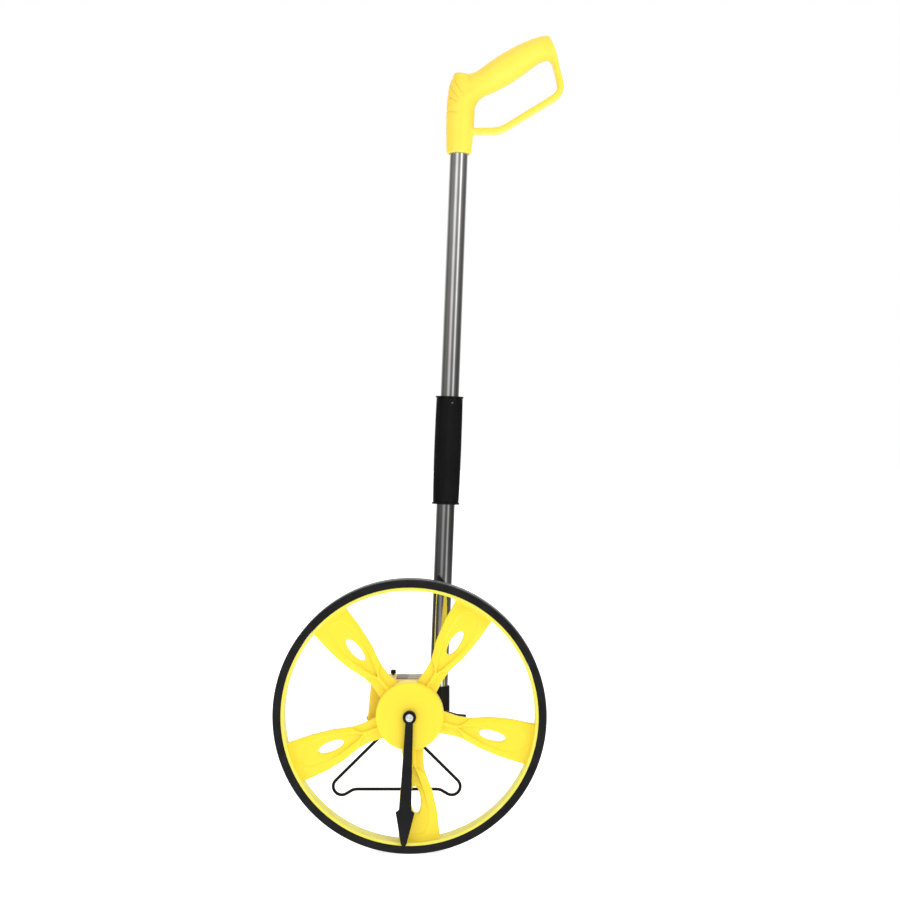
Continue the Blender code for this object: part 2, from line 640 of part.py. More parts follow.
def make_bracket():
    wall_x = CASE_HIGH.x + GAP
    bracket = block("pole_bracket", (wall_x, 47 * MM, -8 * MM), (wall_x + 3 * MM, 80.5 * MM, 30 * MM))
    socket = turned("socket_shape", [(0, SOCKET_HIGH), (SOCKET_RADIUS - 0.8 * MM, SOCKET_HIGH),
                                     (SOCKET_RADIUS, SOCKET_HIGH - 0.8 * MM),
                                     (SOCKET_RADIUS, SOCKET_LOW), (0, SOCKET_LOW)],
                    SOCKET_PLACE, "Z", 24, CUTTERS)
    join(bracket, socket)
    bore = ring("socket_bore", TUBE_RADIUS + GAP, 0, -0.3 * MM, 60 * MM, ORIGIN, "Z", 24, CUTTERS)
    lean(bore)
    side = block("socket_side", Vector((10, 40, -20)) * MM, (wall_x, 80 * MM, 40 * MM), CUTTERS)
    cut(bracket, bore, side)
    for number, z in enumerate((-3.5 * MM, 14 * MM)):
        place = (0, 76.5 * MM, z)
        hole = ring(f"bracket_hole_{number + 1}", 1.7 * MM, 0, 5 * MM, 26 * MM, place, "X", 12,
                    CUTTERS)
        cut(bracket, hole)
        cut(bpy.data.objects["housing_rear"], hole)
        head = wall_x + 3 * MM + GAP
        finish(turned(f"bracket_screw_{number + 1}", [
            (0, head + 1.6 * MM), (2 * MM, head + 1.6 * MM), (2.7 * MM, head), (1.4 * MM, head),
            (1.4 * MM, 13.4 * MM), (0, 13.4 * MM)], place, "X", 12), STEEL, 0.35, 1.0)
    finish(bracket, BLACK, 0.45)


def knuckle(name, side, collar, ears, other_ears):
    """Half of the fold joint: a collar cut flat on the hinge side, a plug that fills the tube's
    end and round ears on the hinge line. The ears' places are spans along that line."""
    face = FOLD_HEIGHT + side * GAP
    end = face + side * collar
    tip = end + side * 24 * MM
    plug = TUBE_BORE - GAP
    profile = [(0, tip), (plug, tip), (plug, end), (COLLAR_RADIUS, end), (COLLAR_RADIUS, face),
               (0, face)]
    body = turned(name, profile if side > 0 else profile[::-1], ORIGIN, "Z", 24)
    cut(body, block(f"{name}_flat", (-0.02, COLLAR_FLAT, 0.2), (0.02, 0.03, 0.3), CUTTERS))
    hinge = (0, FOLD_OFFSET, FOLD_HEIGHT)
    for number, (start, stop) in enumerate(other_ears):
        cut(body, ring(f"{name}_notch_{number + 1}", EAR_RADIUS + GAP, 0, start, stop, hinge,
                       "X", 16, CUTTERS))
    for number, (start, stop) in enumerate(ears):
        join(body, ring(f"{name}_ear_{number + 1}", EAR_RADIUS, 0, start, stop, hinge, "X", 16,
                        CUTTERS))
    cut(body, ring(f"{name}_pin_hole", 1.4 * MM, 0, -0.02, 0.02, hinge, "X", 12, CUTTERS))
    return finish(body, STEEL, 0.45, 1.0)


def make_pole():
    upper_ear, lower_ear = 2.8 * MM, 6.2 * MM
    inner_span = [(-upper_ear, upper_ear)]
    outer_spans = [(upper_ear + GAP, lower_ear), (-lower_ear, -upper_ear - GAP)]
    wide_spans = [(upper_ear, 20 * MM), (-20 * MM, -upper_ear)]
    lower = knuckle("lower_knuckle", -1, LOWER_COLLAR, outer_spans,
                    [(-upper_ear - GAP, upper_ear + GAP)])
    upper = knuckle("upper_knuckle", 1, UPPER_COLLAR, inner_span, wide_spans)
    pin = ring("hinge_pin", 1.1 * MM, 0, -7 * MM, 7 * MM, (0, FOLD_OFFSET, FOLD_HEIGHT), "X", 12)
    finish(pin, STEEL, 0.25, 1.0)

    lower_tube = ring("lower_tube", TUBE_RADIUS, TUBE_BORE, 0,
                      FOLD_HEIGHT - LOWER_COLLAR - 2 * GAP, ORIGIN, "Z", 28)
    upper_tube = ring("upper_tube", TUBE_RADIUS, TUBE_BORE, FOLD_HEIGHT + UPPER_COLLAR + 2 * GAP,
                      UPPER_TUBE_TOP, ORIGIN, "Z", 28)
    for tube in (lower_tube, upper_tube):
        finish(tube, STEEL, 0.12, 1.0)

    wide, narrow = 13.8 * MM, TUBE_RADIUS + GAP
    sleeve = turned("sleeve", [
        (15.6 * MM, SLEEVE_HIGH), (16.5 * MM, SLEEVE_HIGH), (16.5 * MM, SLEEVE_HIGH - 2 * MM),
        (15.5 * MM, SLEEVE_HIGH - 2.4 * MM), (15.9 * MM, SLEEVE_HIGH - 24 * MM),
        (16.15 * MM, SLEEVE_HIGH - 62 * MM), (15.8 * MM, SLEEVE_LOW + 26 * MM),
        (15.25 * MM, SLEEVE_LOW + 2.4 * MM), (16.5 * MM, SLEEVE_LOW + 2 * MM),
        (16.5 * MM, SLEEVE_LOW), (wide, SLEEVE_LOW), (wide, SLEEVE_LOW + 45 * MM),
        (narrow, SLEEVE_LOW + 48 * MM), (narrow, SLEEVE_HIGH)], ORIGIN, "Z", 28)
    rivet_z = SLEEVE_HIGH - 8 * MM
    cut(sleeve, ring("rivet_hole", 1.5 * MM, 0, -30 * MM, -12.5 * MM, (3.4 * MM, 0, rivet_z),
                     "Y", 12, CUTTERS))
    finish(sleeve, BLACK, 0.55)
    rivet = turned("sleeve_rivet", [(0, -12.9 * MM), (1.2 * MM, -12.9 * MM),
                                    (1.2 * MM, -15.3 * MM), (0.8 * MM, -15.8 * MM),
                                    (0, -15.8 * MM)], (3.4 * MM, 0, rivet_z), "Y", 12)
    finish(rivet, STEEL, 0.3, 1.0)

    joint_shapes = [obj for obj in bpy.data.objects if "_knuckle" in obj.name]
    lean(*joint_shapes, pin, lower_tube, upper_tube, sleeve, rivet,
         bpy.data.objects["rivet_hole"])
    hinge_place = pole_matrix() @ Vector((0, FOLD_OFFSET, FOLD_HEIGHT))
    hinge = empty("fold_axis", hinge_place, Matrix.Rotation(POLE_LEAN, 4, "Y"))
    carry(hinge, upper, upper_tube, sleeve, rivet)
    return hinge


def make_grip(hinge):
    """Socket, pistol-like grip and guard bar, moulded as one piece."""
    profile = [(0, SOCKET_PROFILE[0][1] * MM)]
    profile += [(radius * MM, height * MM) for radius, height in SOCKET_PROFILE]
    grip = turned("grip", profile + [(0, GRIP_FOOT)], ORIGIN, "Z", 32)
    lean(grip)
    depth = POLE_FOOT.y
    barrel = wire("grip_barrel", [(x * MM, depth, z * MM) for x, z, _ in GRIP_SPINE], 1 * MM,
                  [size for _, _, size in GRIP_SPINE], 4, CUTTERS)
    end = plate("grip_end", [[(x * MM, z * MM) for x, z in GRIP_END]], 20 * MM, 100 * MM, CUTTERS)
    cut(barrel, end)
    path = GUARD_PATH + arc(GUARD_BEND, GUARD_BEND_RADIUS, -58, 20, 5) + [GUARD_TOP]
    guard = wire("grip_guard", [(x * MM, 0, z * MM) for x, z in path], GUARD_THICK / 2, None, 2,
                 CUTTERS)
    guard.data.transform(Matrix.Scale(GUARD_DEPTH / GUARD_THICK, 4, (0, 1, 0)))
    guard.location = (0, depth, 0)
    join(grip, barrel, guard)
    bore = ring("grip_bore", TUBE_RADIUS + GAP, 0, GRIP_FOOT - 20 * MM, UPPER_TUBE_TOP + GAP,
                ORIGIN, "Z", 32, CUTTERS)
    screw_place = (0, 0, GRIP_FOOT + GRIP_SCREW_RISE)
    screw_hole = ring("grip_screw_hole", 1.7 * MM, 0, 5 * MM, 30 * MM, screw_place, "Y", 12,
                      CUTTERS)
    screw = turned("grip_screw", [(0, 17.6 * MM), (2.2 * MM, 17.4 * MM), (2.8 * MM, 16.4 * MM),
                                  (1.4 * MM, 16.4 * MM), (1.4 * MM, 7 * MM), (0, 7 * MM)],
                   screw_place, "Y", 12)
    lean(bore, screw_hole, screw)
    cut(grip, bore, screw_hole)
    cut(bpy.data.objects["upper_tube"], screw_hole)
    finish(grip, YELLOW, 0.35)
    finish(screw, STEEL, 0.35, 1.0)
    carry(hinge, grip, screw)


# --- reset lever and kickstand -----------------------------------------------------------

def make_lever():
    pivot = (LEVER_PIVOT.x, LEVER_PIVOT.z)
    eye = arc(pivot, 3 * MM, 35, 275, 10)
    outline = eye + [(x * MM, z * MM) for x, z in LEVER_LOWER + LEVER_UPPER]
    hole = arc(pivot, 1.3 * MM, 0, 330, 11)
    lever = finish(plate("reset_lever", [outline, hole], LEVER_FRONT, LEVER_BACK), BLACK, 0.4)
    carry(empty("lever_axis", LEVER_PIVOT), lever)
    pin = ring("lever_pin", 1 * MM, 0, 37.4 * MM, 52 * MM, LEVER_PIVOT, steps=12)
    finish(pin, STEEL, 0.3, 1.0)
    turns, per_turn = 3, 10
    steps = range(turns * per_turn + 1)
    coil = [(LEVER_PIVOT.x + 2 * MM * math.cos(step * math.tau / per_turn),
             (45.6 + 3.4 * step / (turns * per_turn)) * MM,
             LEVER_PIVOT.z + 2 * MM * math.sin(step * math.tau / per_turn)) for step in steps]
    finish(wire("lever_spring", coil, 0.35 * MM, None, 0), STEEL, 0.3, 1.0)


def make_kickstand():
    depth = STAND_PIVOT.y
    foot = (FOOT_CENTRE[0], FOOT_CENTRE[1] - STAND_PIVOT.z)
    low_bar = STAND_BAR - STAND_PIVOT.z
    half = [(7 * MM, 0), (13.2 * MM, 0), (17.7 * MM, -0.6 * MM), (20.7 * MM, -2.4 * MM)]
    half += arc(foot, FOOT_RADIUS, 45, -117, 12)
    half += [(54.5 * MM, low_bar - 1.7 * MM), (51 * MM, low_bar - 0.4 * MM), (46 * MM, low_bar)]
    points = half + [(-x, z) for x, z in reversed(half)]
    stand = wire("kickstand", [(STAND_PIVOT.x + x, depth, STAND_PIVOT.z + z) for x, z in points],
                 STAND_WIRE, None, 1)
    finish(stand, BLACK, 0.4)
    carry(empty("kickstand_axis", STAND_PIVOT), stand)
    for number, side in enumerate((-1, 1)):
        x = STAND_PIVOT.x + side * 7.5 * MM
        clip = block(f"kickstand_clip_{number + 1}", (x - 3.5 * MM, depth - 4 * MM, CLIP_LOW),
                     (x + 3.5 * MM, depth + 4 * MM, CASE_LOW.z - GAP))
        bevel(clip, 0.8 * MM)
        cut(clip, ring(f"clip_hole_{number + 1}", STAND_WIRE + GAP, 0, x - 6 * MM, x + 6 * MM,
                       (0, depth, STAND_PIVOT.z), "X", 16, CUTTERS))
        finish(clip, BLACK, 0.5)


make_wheel()
make_axle()
make_counter()
make_case()
make_bracket()
FOLD_HINGE = make_pole()
make_grip(FOLD_HINGE)
make_lever()
make_kickstand()
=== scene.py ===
"""Looks of the folding measuring wheel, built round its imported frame.

The frame gives every place. Lengths below are in millimetres where a name or a comment says so,
and in metres otherwise. +Z is up and +Y runs along the axle, from the pointer to the counter case.
"""

import json
import math

import bmesh
import bpy
import numpy as np
from mathutils import Matrix, Vector


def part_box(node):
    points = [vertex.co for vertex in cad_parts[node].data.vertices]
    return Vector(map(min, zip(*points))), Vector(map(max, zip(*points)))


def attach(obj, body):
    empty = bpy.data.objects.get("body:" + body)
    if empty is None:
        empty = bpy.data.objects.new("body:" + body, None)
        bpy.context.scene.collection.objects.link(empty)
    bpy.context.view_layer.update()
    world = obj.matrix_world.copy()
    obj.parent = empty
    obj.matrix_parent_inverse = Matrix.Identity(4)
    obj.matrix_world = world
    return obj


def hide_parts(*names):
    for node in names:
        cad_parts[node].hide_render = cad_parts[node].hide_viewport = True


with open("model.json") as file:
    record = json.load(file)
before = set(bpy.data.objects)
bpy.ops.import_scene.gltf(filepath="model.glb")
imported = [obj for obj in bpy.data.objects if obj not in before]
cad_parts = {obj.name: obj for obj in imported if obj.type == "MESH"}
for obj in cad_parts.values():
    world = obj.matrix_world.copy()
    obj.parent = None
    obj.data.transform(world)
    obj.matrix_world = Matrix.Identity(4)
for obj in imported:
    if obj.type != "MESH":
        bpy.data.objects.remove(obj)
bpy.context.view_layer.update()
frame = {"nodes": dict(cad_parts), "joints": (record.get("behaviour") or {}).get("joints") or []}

MM = 0.001
GAP = 0.3                         # mm, clearance between touching neighbours


def low(node):
    """A CAD node's lowest corner, in millimetres."""
    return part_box(node)[0] / MM


def high(node):
    """A CAD node's highest corner, in millimetres."""
    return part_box(node)[1] / MM


JOINTS = {joint["name"]: joint for joint in frame["joints"]}
POLE_DIRECTION = Vector(JOINTS["sleeve_slide"]["axis"])
COUNTER_POINT = Vector(JOINTS["counter_spin"]["pos_m"]) / MM
STAND_POINT = Vector(JOINTS["kickstand_swing"]["pos_m"]) / MM
LEVER_POINT = Vector(JOINTS["lever_press"]["pos_m"]) / MM

# wheel, mm
TYRE_RADIUS = high("tyre").z
TYRE_FRONT, TYRE_BACK = low("tyre").y, high("tyre").y
RIM_OUTER = 149.5
RIM_INNER = 146.2
WEB_FRONT = 20.0
WEB_BACK = 24.5
HUB_RADIUS = high("hub_cap").z
SPOKES = 5
SPOKE_ANGLE = math.radians(57.9)
# radius, half-width on the leading side, half-width on the trailing side
SPOKE_EDGES = np.array([(30, 14.6, 13.4), (36, 14.0, 12.9), (55, 12.0, 11.0), (68, 13.0, 12.0),
                        (80, 16.3, 14.7), (91, 19.9, 17.7), (117, 24.0, 21.3), (149, 25.4, 23.1)])
# radius, half-width of the sunk leaf in the middle of each spoke
LEAF = np.array([(45, -5), (60.5, 0.2), (65, 2.4), (70, 4.1), (75, 5.6), (81, 7.3), (90, 9.8),
                 (100, 11.8), (112, 13.2), (126, 12.6), (133, 10.5), (137, 6), (139, 0.2), (149, -5)])
# radius, half-width of the raised rib, which forks round the leaf
FORK = np.array([(30, 2.5), (55, 2.3), (59, 3.0), (62, 5.2), (65, 8.2), (68, 11.4), (72, 16),
                 (149, 40)])
HOLE_CENTRE = 99
HOLE_LENGTH, HOLE_WIDTH = 15.9, 5.8   # half-length and half-width of the oval in each spoke

# pole, mm along the pole from its foot
POLE_FOOT = Vector((32.4, 60, 0))
TUBE_RADIUS = 11
TUBE_BORE = 9.4
LOWER_TUBE_TOP = 244.4
UPPER_TUBE_FOOT = 272.6
SLEEVE_LOW, SLEEVE_HIGH = 244.5, 373
SLEEVE_RIBS = 44
GRIP_FOOT = 662.5
TUBE_TOP = 735

# counter case, mm
CASE_FLARE = 0.094                # how fast its left side spreads downwards
CASE_SCREWS = [(-43.2, -25.5), (14.2, -25.5), (-42.4, 31.5), (14.2, 24)]


# camera, level and looking along +Y
CAMERA = (0.04685, -1.591, 0.3089)
LENS = 55.3                       # mm, for a sensor 36 mm wide


# --- mesh tools -----------------------------------------------------------------------------

AROUND = {"X": Matrix.Rotation(math.radians(90), 4, "Y"),
          "Y": Matrix.Rotation(math.radians(-90), 4, "X"),
          "Z": Matrix()}
POLE = (Matrix.Translation(POLE_FOOT)
        @ Matrix.Rotation(math.atan2(POLE_DIRECTION.x, POLE_DIRECTION.z), 4, "Y"))


def linked(name, data):
    """A new object in the scene."""
    made = bpy.data.objects.new(name, data)
    bpy.context.scene.collection.objects.link(made)
    return made


def from_work(name, work):
    """A new object from a bmesh, which is used up."""
    mesh = bpy.data.meshes.new(name)
    work.to_mesh(mesh)
    work.free()
    return linked(name, mesh)


def outward(mesh, merge=False):
    """Turn a mesh's faces outwards, after merging the points that coincide if asked."""
    work = bmesh.new()
    work.from_mesh(mesh)
    if merge:
        bmesh.ops.remove_doubles(work, verts=work.verts, dist=1e-6)
    bmesh.ops.recalc_face_normals(work, faces=work.faces)
    work.to_mesh(mesh)
    work.free()


def mesh_piece(name, verts, faces, matrix=Matrix()):
    """A mesh object in place in the frame, from points in millimetres."""
    mesh = bpy.data.meshes.new(name)
    mesh.from_pydata([tuple(v) for v in verts], [], faces)
    mesh.transform(Matrix.Scale(MM, 4) @ matrix)
    outward(mesh)
    return linked(name, mesh)


def in_mm(piece, matrix):
    """Move a piece's mesh by a matrix in millimetres."""
    piece.data.transform(Matrix.Scale(MM, 4) @ matrix @ Matrix.Scale(1 / MM, 4))
    return piece


def soften(profile, size, closed=True):
    """Round the corners of an outline by size, in millimetres, with a point past each rounding
    where there is room, so that long flat faces stay flat."""
    if not size:
        return list(profile)
    points = [Vector(p) for p in profile]
    count, steps = len(points), 4
    rounded = []
    for index, corner in enumerate(points):
        if not closed and index in (0, count - 1):
            rounded.append(tuple(corner))
            continue
        before = points[index - 1] - corner
        after = points[(index + 1) % count] - corner
        reach = min(size, before.length * 0.4, after.length * 0.4)
        start = corner + before.normalized() * reach
        end = corner + after.normalized() * reach
        if before.length > reach * 3:
            rounded.append(tuple(corner + before.normalized() * reach * 1.25))
        for step in range(steps + 1):
            t = step / steps
            point = start * (1 - t) ** 2 + corner * 2 * t * (1 - t) + end * t ** 2
            rounded.append(tuple(point))
        if after.length > reach * 3:
            rounded.append(tuple(corner + after.normalized() * reach * 1.25))
    return rounded


def turned(name, profile, matrix=Matrix(), along="Y", steps=96, shape=None):
    """A turned piece from (radius, distance along the axis) points. It closes on itself unless
    both its ends are on the axis. shape(radius, distance, angle) may give another radius."""
    open_ended = profile[0][0] < 1e-6 and profile[-1][0] < 1e-6
    verts, rings = [], []
    for radius, height in profile:
        if radius < 1e-6:
            verts.append((0, 0, height))
            rings.append([len(verts) - 1] * steps)
            continue
        start = len(verts)
        for step in range(steps):
            angle = math.tau * step / steps
            reach = shape(radius, height, angle) if shape else radius
            verts.append((reach * math.cos(angle), reach * math.sin(angle), height))
        rings.append(list(range(start, start + steps)))
    pairs = list(zip(rings, rings[1:]))
    if not open_ended:
        pairs.append((rings[-1], rings[0]))
    faces = []
    for one, two in pairs:
        for step in range(steps):
            after = (step + 1) % steps
            corners = [one[step], one[after], two[after], two[step]]
            face = list(dict.fromkeys(corners))
            if len(face) > 2:
                faces.append(face)
    return mesh_piece(name, verts, faces, matrix @ AROUND[along])


def ring(name, outer, inner, start, end, matrix=Matrix(), along="Y", steps=96, edge=0.4):
    """A ring or, with no inner radius, a disc, with rounded edges."""
    if inner:
        profile = soften([(outer, end), (outer, start), (inner, start), (inner, end)], edge)
    else:
        profile = soften([(0, end), (outer, end), (outer, start), (0, start)], edge, False)
    return turned(name, profile, matrix, along, steps)


def plate(name, outlines, front, back, edge):
    """A flat plate with rounded edges, from outlines in the X-Z plane."""
    curve = bpy.data.curves.new(name, "CURVE")
    curve.dimensions = "2D"
    curve.fill_mode = "BOTH"
    curve.extrude = (back - front) / 2 * MM
    for outline in outlines:
        spline = curve.splines.new("POLY")
        spline.points.add(len(outline) - 1)
        spline.use_cyclic_u = True
        for point, (x, z) in zip(spline.points, outline):
            point.co = (x * MM, z * MM, 0, 1)
    piece = baked(linked(name, curve))
    piece.data.transform(Matrix.Translation((0, (front + back) / 2 * MM, 0))
                         @ Matrix.Rotation(math.radians(90), 4, "X"))
    outward(piece.data, merge=True)
    return bevel(piece, edge)


def baked(obj):
    """The same object as a plain mesh, with its modifiers applied and its cutters removed."""
    bpy.context.view_layer.update()
    evaluated = obj.evaluated_get(bpy.context.evaluated_depsgraph_get())
    mesh = bpy.data.meshes.new_from_object(evaluated)
    name = obj.name
    tools = [m.object for m in obj.modifiers if m.type == "BOOLEAN"]
    obj.name = name + "_guide"
    piece = linked(name, mesh)
    for used in [obj, *tools]:
        bpy.data.objects.remove(used, do_unlink=True)
    return piece


def bevel(piece, width, segments=3):
    """Round a piece's sharp edges, by a width in millimetres."""
    step = piece.modifiers.new("bevel", "BEVEL")
    step.width = width * MM
    step.segments = segments
    step.limit_method = "ANGLE"
    step.angle_limit = math.radians(35)
    return piece


def combine(piece, operation, *others):
    """Add or cut other pieces, which baked() applies and removes."""
    for other in others:
        step = piece.modifiers.new(operation.lower(), "BOOLEAN")
        step.operation = operation
        step.solver = "EXACT"
        step.object = other
    return piece


def block(name, lowest, highest, edge=0.0, segments=5):
    """A box between two corners in millimetres, with rounded edges."""
    lowest, highest = Vector(lowest), Vector(highest)
    work = bmesh.new()
    bmesh.ops.create_cube(work, size=1)
    bmesh.ops.scale(work, vec=(highest - lowest) * MM, verts=work.verts)
    bmesh.ops.translate(work, vec=(highest + lowest) / 2 * MM, verts=work.verts)
    if edge:
        bmesh.ops.bevel(work, geom=work.edges[:], offset=edge * MM, segments=segments,
                        profile=0.5, affect="EDGES")
    return from_work(name, work)


def tube_along(name, points, radius, sides):
    """A round rod along points in millimetres, with domed ends."""
    points = [Vector(p) for p in points]
    first = (points[0] - points[1]).normalized() * radius
    last = (points[-1] - points[-2]).normalized() * radius
    sizes = [0.3 * radius, 0.75 * radius] + [radius] * len(points) + [0.75 * radius, 0.3 * radius]
    points = ([points[0] + first * 0.35, points[0] + first * 0.28] + points
              + [points[-1] + last * 0.28, points[-1] + last * 0.35])
    verts, faces = [], []
    heading = (points[1] - points[0]).normalized()
    side = heading.orthogonal().normalized()
    for index, (place, size) in enumerate(zip(points, sizes)):
        ahead = points[min(index + 1, len(points) - 1)] - points[max(index - 1, 0)]
        turn = heading.rotation_difference(ahead.normalized())
        heading, side = ahead.normalized(), turn @ side
        other = heading.cross(side)
        for step in range(sides):
            angle = math.tau * step / sides
            verts.append(place + (side * math.cos(angle) + other * math.sin(angle)) * size)
        if index:
            start = index * sides
            for step in range(sides):
                after = (step + 1) % sides
                faces.append((start - sides + step, start - sides + after,
                              start + after, start + step))
    faces.append(tuple(range(sides)))
    faces.append(tuple(range(len(verts) - sides, len(verts))))
    return mesh_piece(name, verts, faces)


def arc(centre, radius, start, end, steps):
    """Points on an arc, with angles in degrees."""
    turns = [math.radians(start + (end - start) * step / steps) for step in range(steps + 1)]
    return [(centre[0] + radius * math.cos(a), centre[1] + radius * math.sin(a)) for a in turns]


def joined(name, *pieces):
    """One object out of several meshes."""
    work = bmesh.new()
    for piece in pieces:
        shape = baked(piece)
        work.from_mesh(shape.data)
        bpy.data.objects.remove(shape, do_unlink=True)
    return from_work(name, work)


def smooth(t):
    """A share that eases in and out between 0 and 1."""
    t = np.clip(t, 0, 1)
    return t * t * (3 - 2 * t)


def paint(piece, finish, angle=None):
    """Give a piece its finish and, with an angle, smooth shading up to edges of that angle."""
    piece.data.materials.clear()
    piece.data.materials.append(finish)
    if angle:
        piece.data.shade_smooth()
        piece.data.set_sharp_from_angle(angle=math.radians(angle))
    return piece


def place(piece, body, finish, slot, *nodes, angle=32):
    """Give a piece its finish, let it ride on a body and stand for CAD nodes."""
    paint(piece, finish, angle)
    weigh = piece.modifiers.new("flat_faces", "WEIGHTED_NORMAL")
    weigh.keep_sharp = True
    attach(piece, body)
    if nodes:
        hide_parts(*nodes)
    return piece


# --- finishes -------------------------------------------------------------------------------

def colour_ramp(nodes, links, source, stops):
    """Blend from one colour to the next along a value, from (position, colour) stops."""
    ramp = nodes.new("ShaderNodeValToRGB")
    elements = ramp.color_ramp.elements
    for index in (0, -1):
        elements[index].position, elements[index].color = stops[index][0], (*stops[index][1], 1)
    for position, colour in stops[1:-1]:
        elements.new(position).color = (*colour, 1)
    links.new(source, ramp.inputs["Fac"])
    return ramp.outputs["Color"]


class Finish:
    """A procedural material under construction."""

    def __init__(self, name, colour, roughness, metallic=0.0, **sockets):
        self.material = bpy.data.materials.new(name)
        self.material.use_nodes = True
        self.nodes = self.material.node_tree.nodes
        self.links = self.material.node_tree.links
        self.shader = self.nodes["Principled BSDF"]
        self.shader.inputs["Base Color"].default_value = (*colour, 1)
        self.shader.inputs["Roughness"].default_value = roughness
        self.shader.inputs["Metallic"].default_value = metallic
        for socket, value in sockets.items():
            self.shader.inputs[socket.replace("_", " ")].default_value = value
        self.place = self.nodes.new("ShaderNodeTexCoord").outputs["Object"]
        self.bumps = None

    def noise(self, scale, detail=3.0, stretch=(1, 1, 1)):
        """A noise, with its scale in features a metre."""
        mapping = self.nodes.new("ShaderNodeMapping")
        mapping.inputs["Scale"].default_value = stretch
        texture = self.nodes.new("ShaderNodeTexNoise")
        texture.inputs["Scale"].default_value = scale
        texture.inputs["Detail"].default_value = detail
        self.links.new(self.place, mapping.inputs["Vector"])
        self.links.new(mapping.outputs["Vector"], texture.inputs["Vector"])
        return texture.outputs["Fac"]

    def spread(self, source, start, end, lowest=0.0, highest=1.0):
        """Map part of a value's range to another range."""
        node = self.nodes.new("ShaderNodeMapRange")
        node.inputs["From Min"].default_value = start
        node.inputs["From Max"].default_value = end
        node.inputs["To Min"].default_value = lowest
        node.inputs["To Max"].default_value = highest
        self.links.new(source, node.inputs["Value"])
        return node.outputs["Result"]

    def colours(self, source, dark, light, start=0.3, end=0.7):
        """Go from one colour to another over part of a value's range."""
        return colour_ramp(self.nodes, self.links, source, [(start, dark), (end, light)])

    def blend(self, factor, one, two):
        """Mix two colours, either of which may be fixed."""
        node = self.nodes.new("ShaderNodeMix")
        node.data_type = "RGBA"
        self.links.new(factor, node.inputs["Factor"])
        for socket, value in ((node.inputs[6], one), (node.inputs[7], two)):
            if isinstance(value, tuple):
                socket.default_value = (*value, 1)
            else:
                self.links.new(value, socket)
        return node.outputs[2]

    def colour(self, source):
        self.links.new(source, self.shader.inputs["Base Color"])

    def roughness(self, source, smoothest, roughest, start=0.3, end=0.7):
        """Let the roughness vary over part of a value's range."""
        self.links.new(self.spread(source, start, end, smoothest, roughest),
                       self.shader.inputs["Roughness"])

    def edges(self, start=0.52, end=0.6):
        """How exposed an edge is."""
        return self.spread(self.nodes.new("ShaderNodeNewGeometry").outputs["Pointiness"], start, end)

    def bump(self, source, depth, strength=1.0):
        """A relief of the given depth in millimetres, on top of any before it."""
        node = self.nodes.new("ShaderNodeBump")
        node.inputs["Strength"].default_value = strength
        node.inputs["Distance"].default_value = depth * MM
        self.links.new(source, node.inputs["Height"])
        if self.bumps:
            self.links.new(self.bumps, node.inputs["Normal"])
        self.bumps = node.outputs["Normal"]
        self.links.new(self.bumps, self.shader.inputs["Normal"])


def yellow_plastic(name, lit, deep, texture=0.03):
    """Bright moulded plastic: flow marks, fine spark texture and paler worn edges."""
    made = Finish(name, lit, 0.34, Specular_IOR_Level=0.45, Sheen_Weight=0.12, Sheen_Roughness=0.35)
    body = made.colours(made.noise(22, 4, (1, 1, 0.5)), deep, lit)
    pale = tuple(0.75 * c + 0.25 for c in lit)
    made.colour(made.blend(made.spread(made.edges(), 0, 1, 0, 0.35), body, pale))
    made.roughness(made.noise(90, 5), 0.27, 0.42)
    made.bump(made.noise(1400, 2), texture)
    made.bump(made.noise(60, 2), 0.08, 0.4)
    return made.material


def black_plastic(name, level, roughness, grain=0.03):
    """Black moulding with faint clouds, greyer worn edges and a fine grain."""
    made = Finish(name, (level,) * 3, roughness, Specular_IOR_Level=0.2)
    body = made.colours(made.noise(40, 5), (level * 0.8, level * 0.8, level * 0.85),
                        (level * 1.25, level * 1.25, level * 1.35))
    # on this black moulding the mix is only edge wear
    wear_and_painted_highlight = made.spread(made.edges(0.53, 0.62), 0, 1, 0, 0.5)
    made.colour(made.blend(wear_and_painted_highlight, body, (level * 4, level * 4, level * 4.2)))
    made.roughness(made.noise(160, 4), roughness - 0.07, roughness + 0.08)
    made.bump(made.noise(1800, 2), grain)
    return made.material


def rubber():
    """Black rubber with a tread painted paler, a painted highlight where the light from above catches
    it.
    """
    made = Finish("tyre_rubber", (0.009, 0.009, 0.01), 0.5, Specular_IOR_Level=0.25)
    wall = made.colours(made.noise(70, 6), (0.006, 0.006, 0.007), (0.013, 0.013, 0.014), 0.35, 0.75)
    # painted highlight: the tread is greyer than the sidewall, as if lit from above
    wear_and_painted_highlight = made.colours(made.noise(300, 5), (0.05, 0.05, 0.052), (0.085, 0.085, 0.088))
    flat = made.nodes.new("ShaderNodeVectorMath")
    flat.operation = "MULTIPLY"
    flat.inputs[1].default_value = (1, 0, 1)
    made.links.new(made.place, flat.inputs[0])
    reach = made.nodes.new("ShaderNodeVectorMath")
    reach.operation = "LENGTH"
    made.links.new(flat.outputs["Vector"], reach.inputs[0])
    tread = made.spread(reach.outputs["Value"], (TYRE_RADIUS - 1.2) * MM, (TYRE_RADIUS - 0.4) * MM)
    made.colour(made.blend(tread, wall, wear_and_painted_highlight))
    made.roughness(tread, 0.5, 0.33, 0, 1)
    made.bump(made.noise(900, 3), 0.04)
    return made.material


def chrome():
    """Bright plated tube: a faint haze, drawing lines along it and small pits."""
    made = Finish("chrome_plate", (0.8, 0.79, 0.78), 0.05, 1.0)
    made.colour(made.colours(made.noise(35, 4), (0.74, 0.73, 0.71), (0.84, 0.83, 0.83)))
    made.roughness(made.noise(110, 5), 0.03, 0.08, 0.35, 0.75)
    made.bump(made.noise(420, 3, (1, 1, 0.01)), 0.006, 0.6)
    return made.material


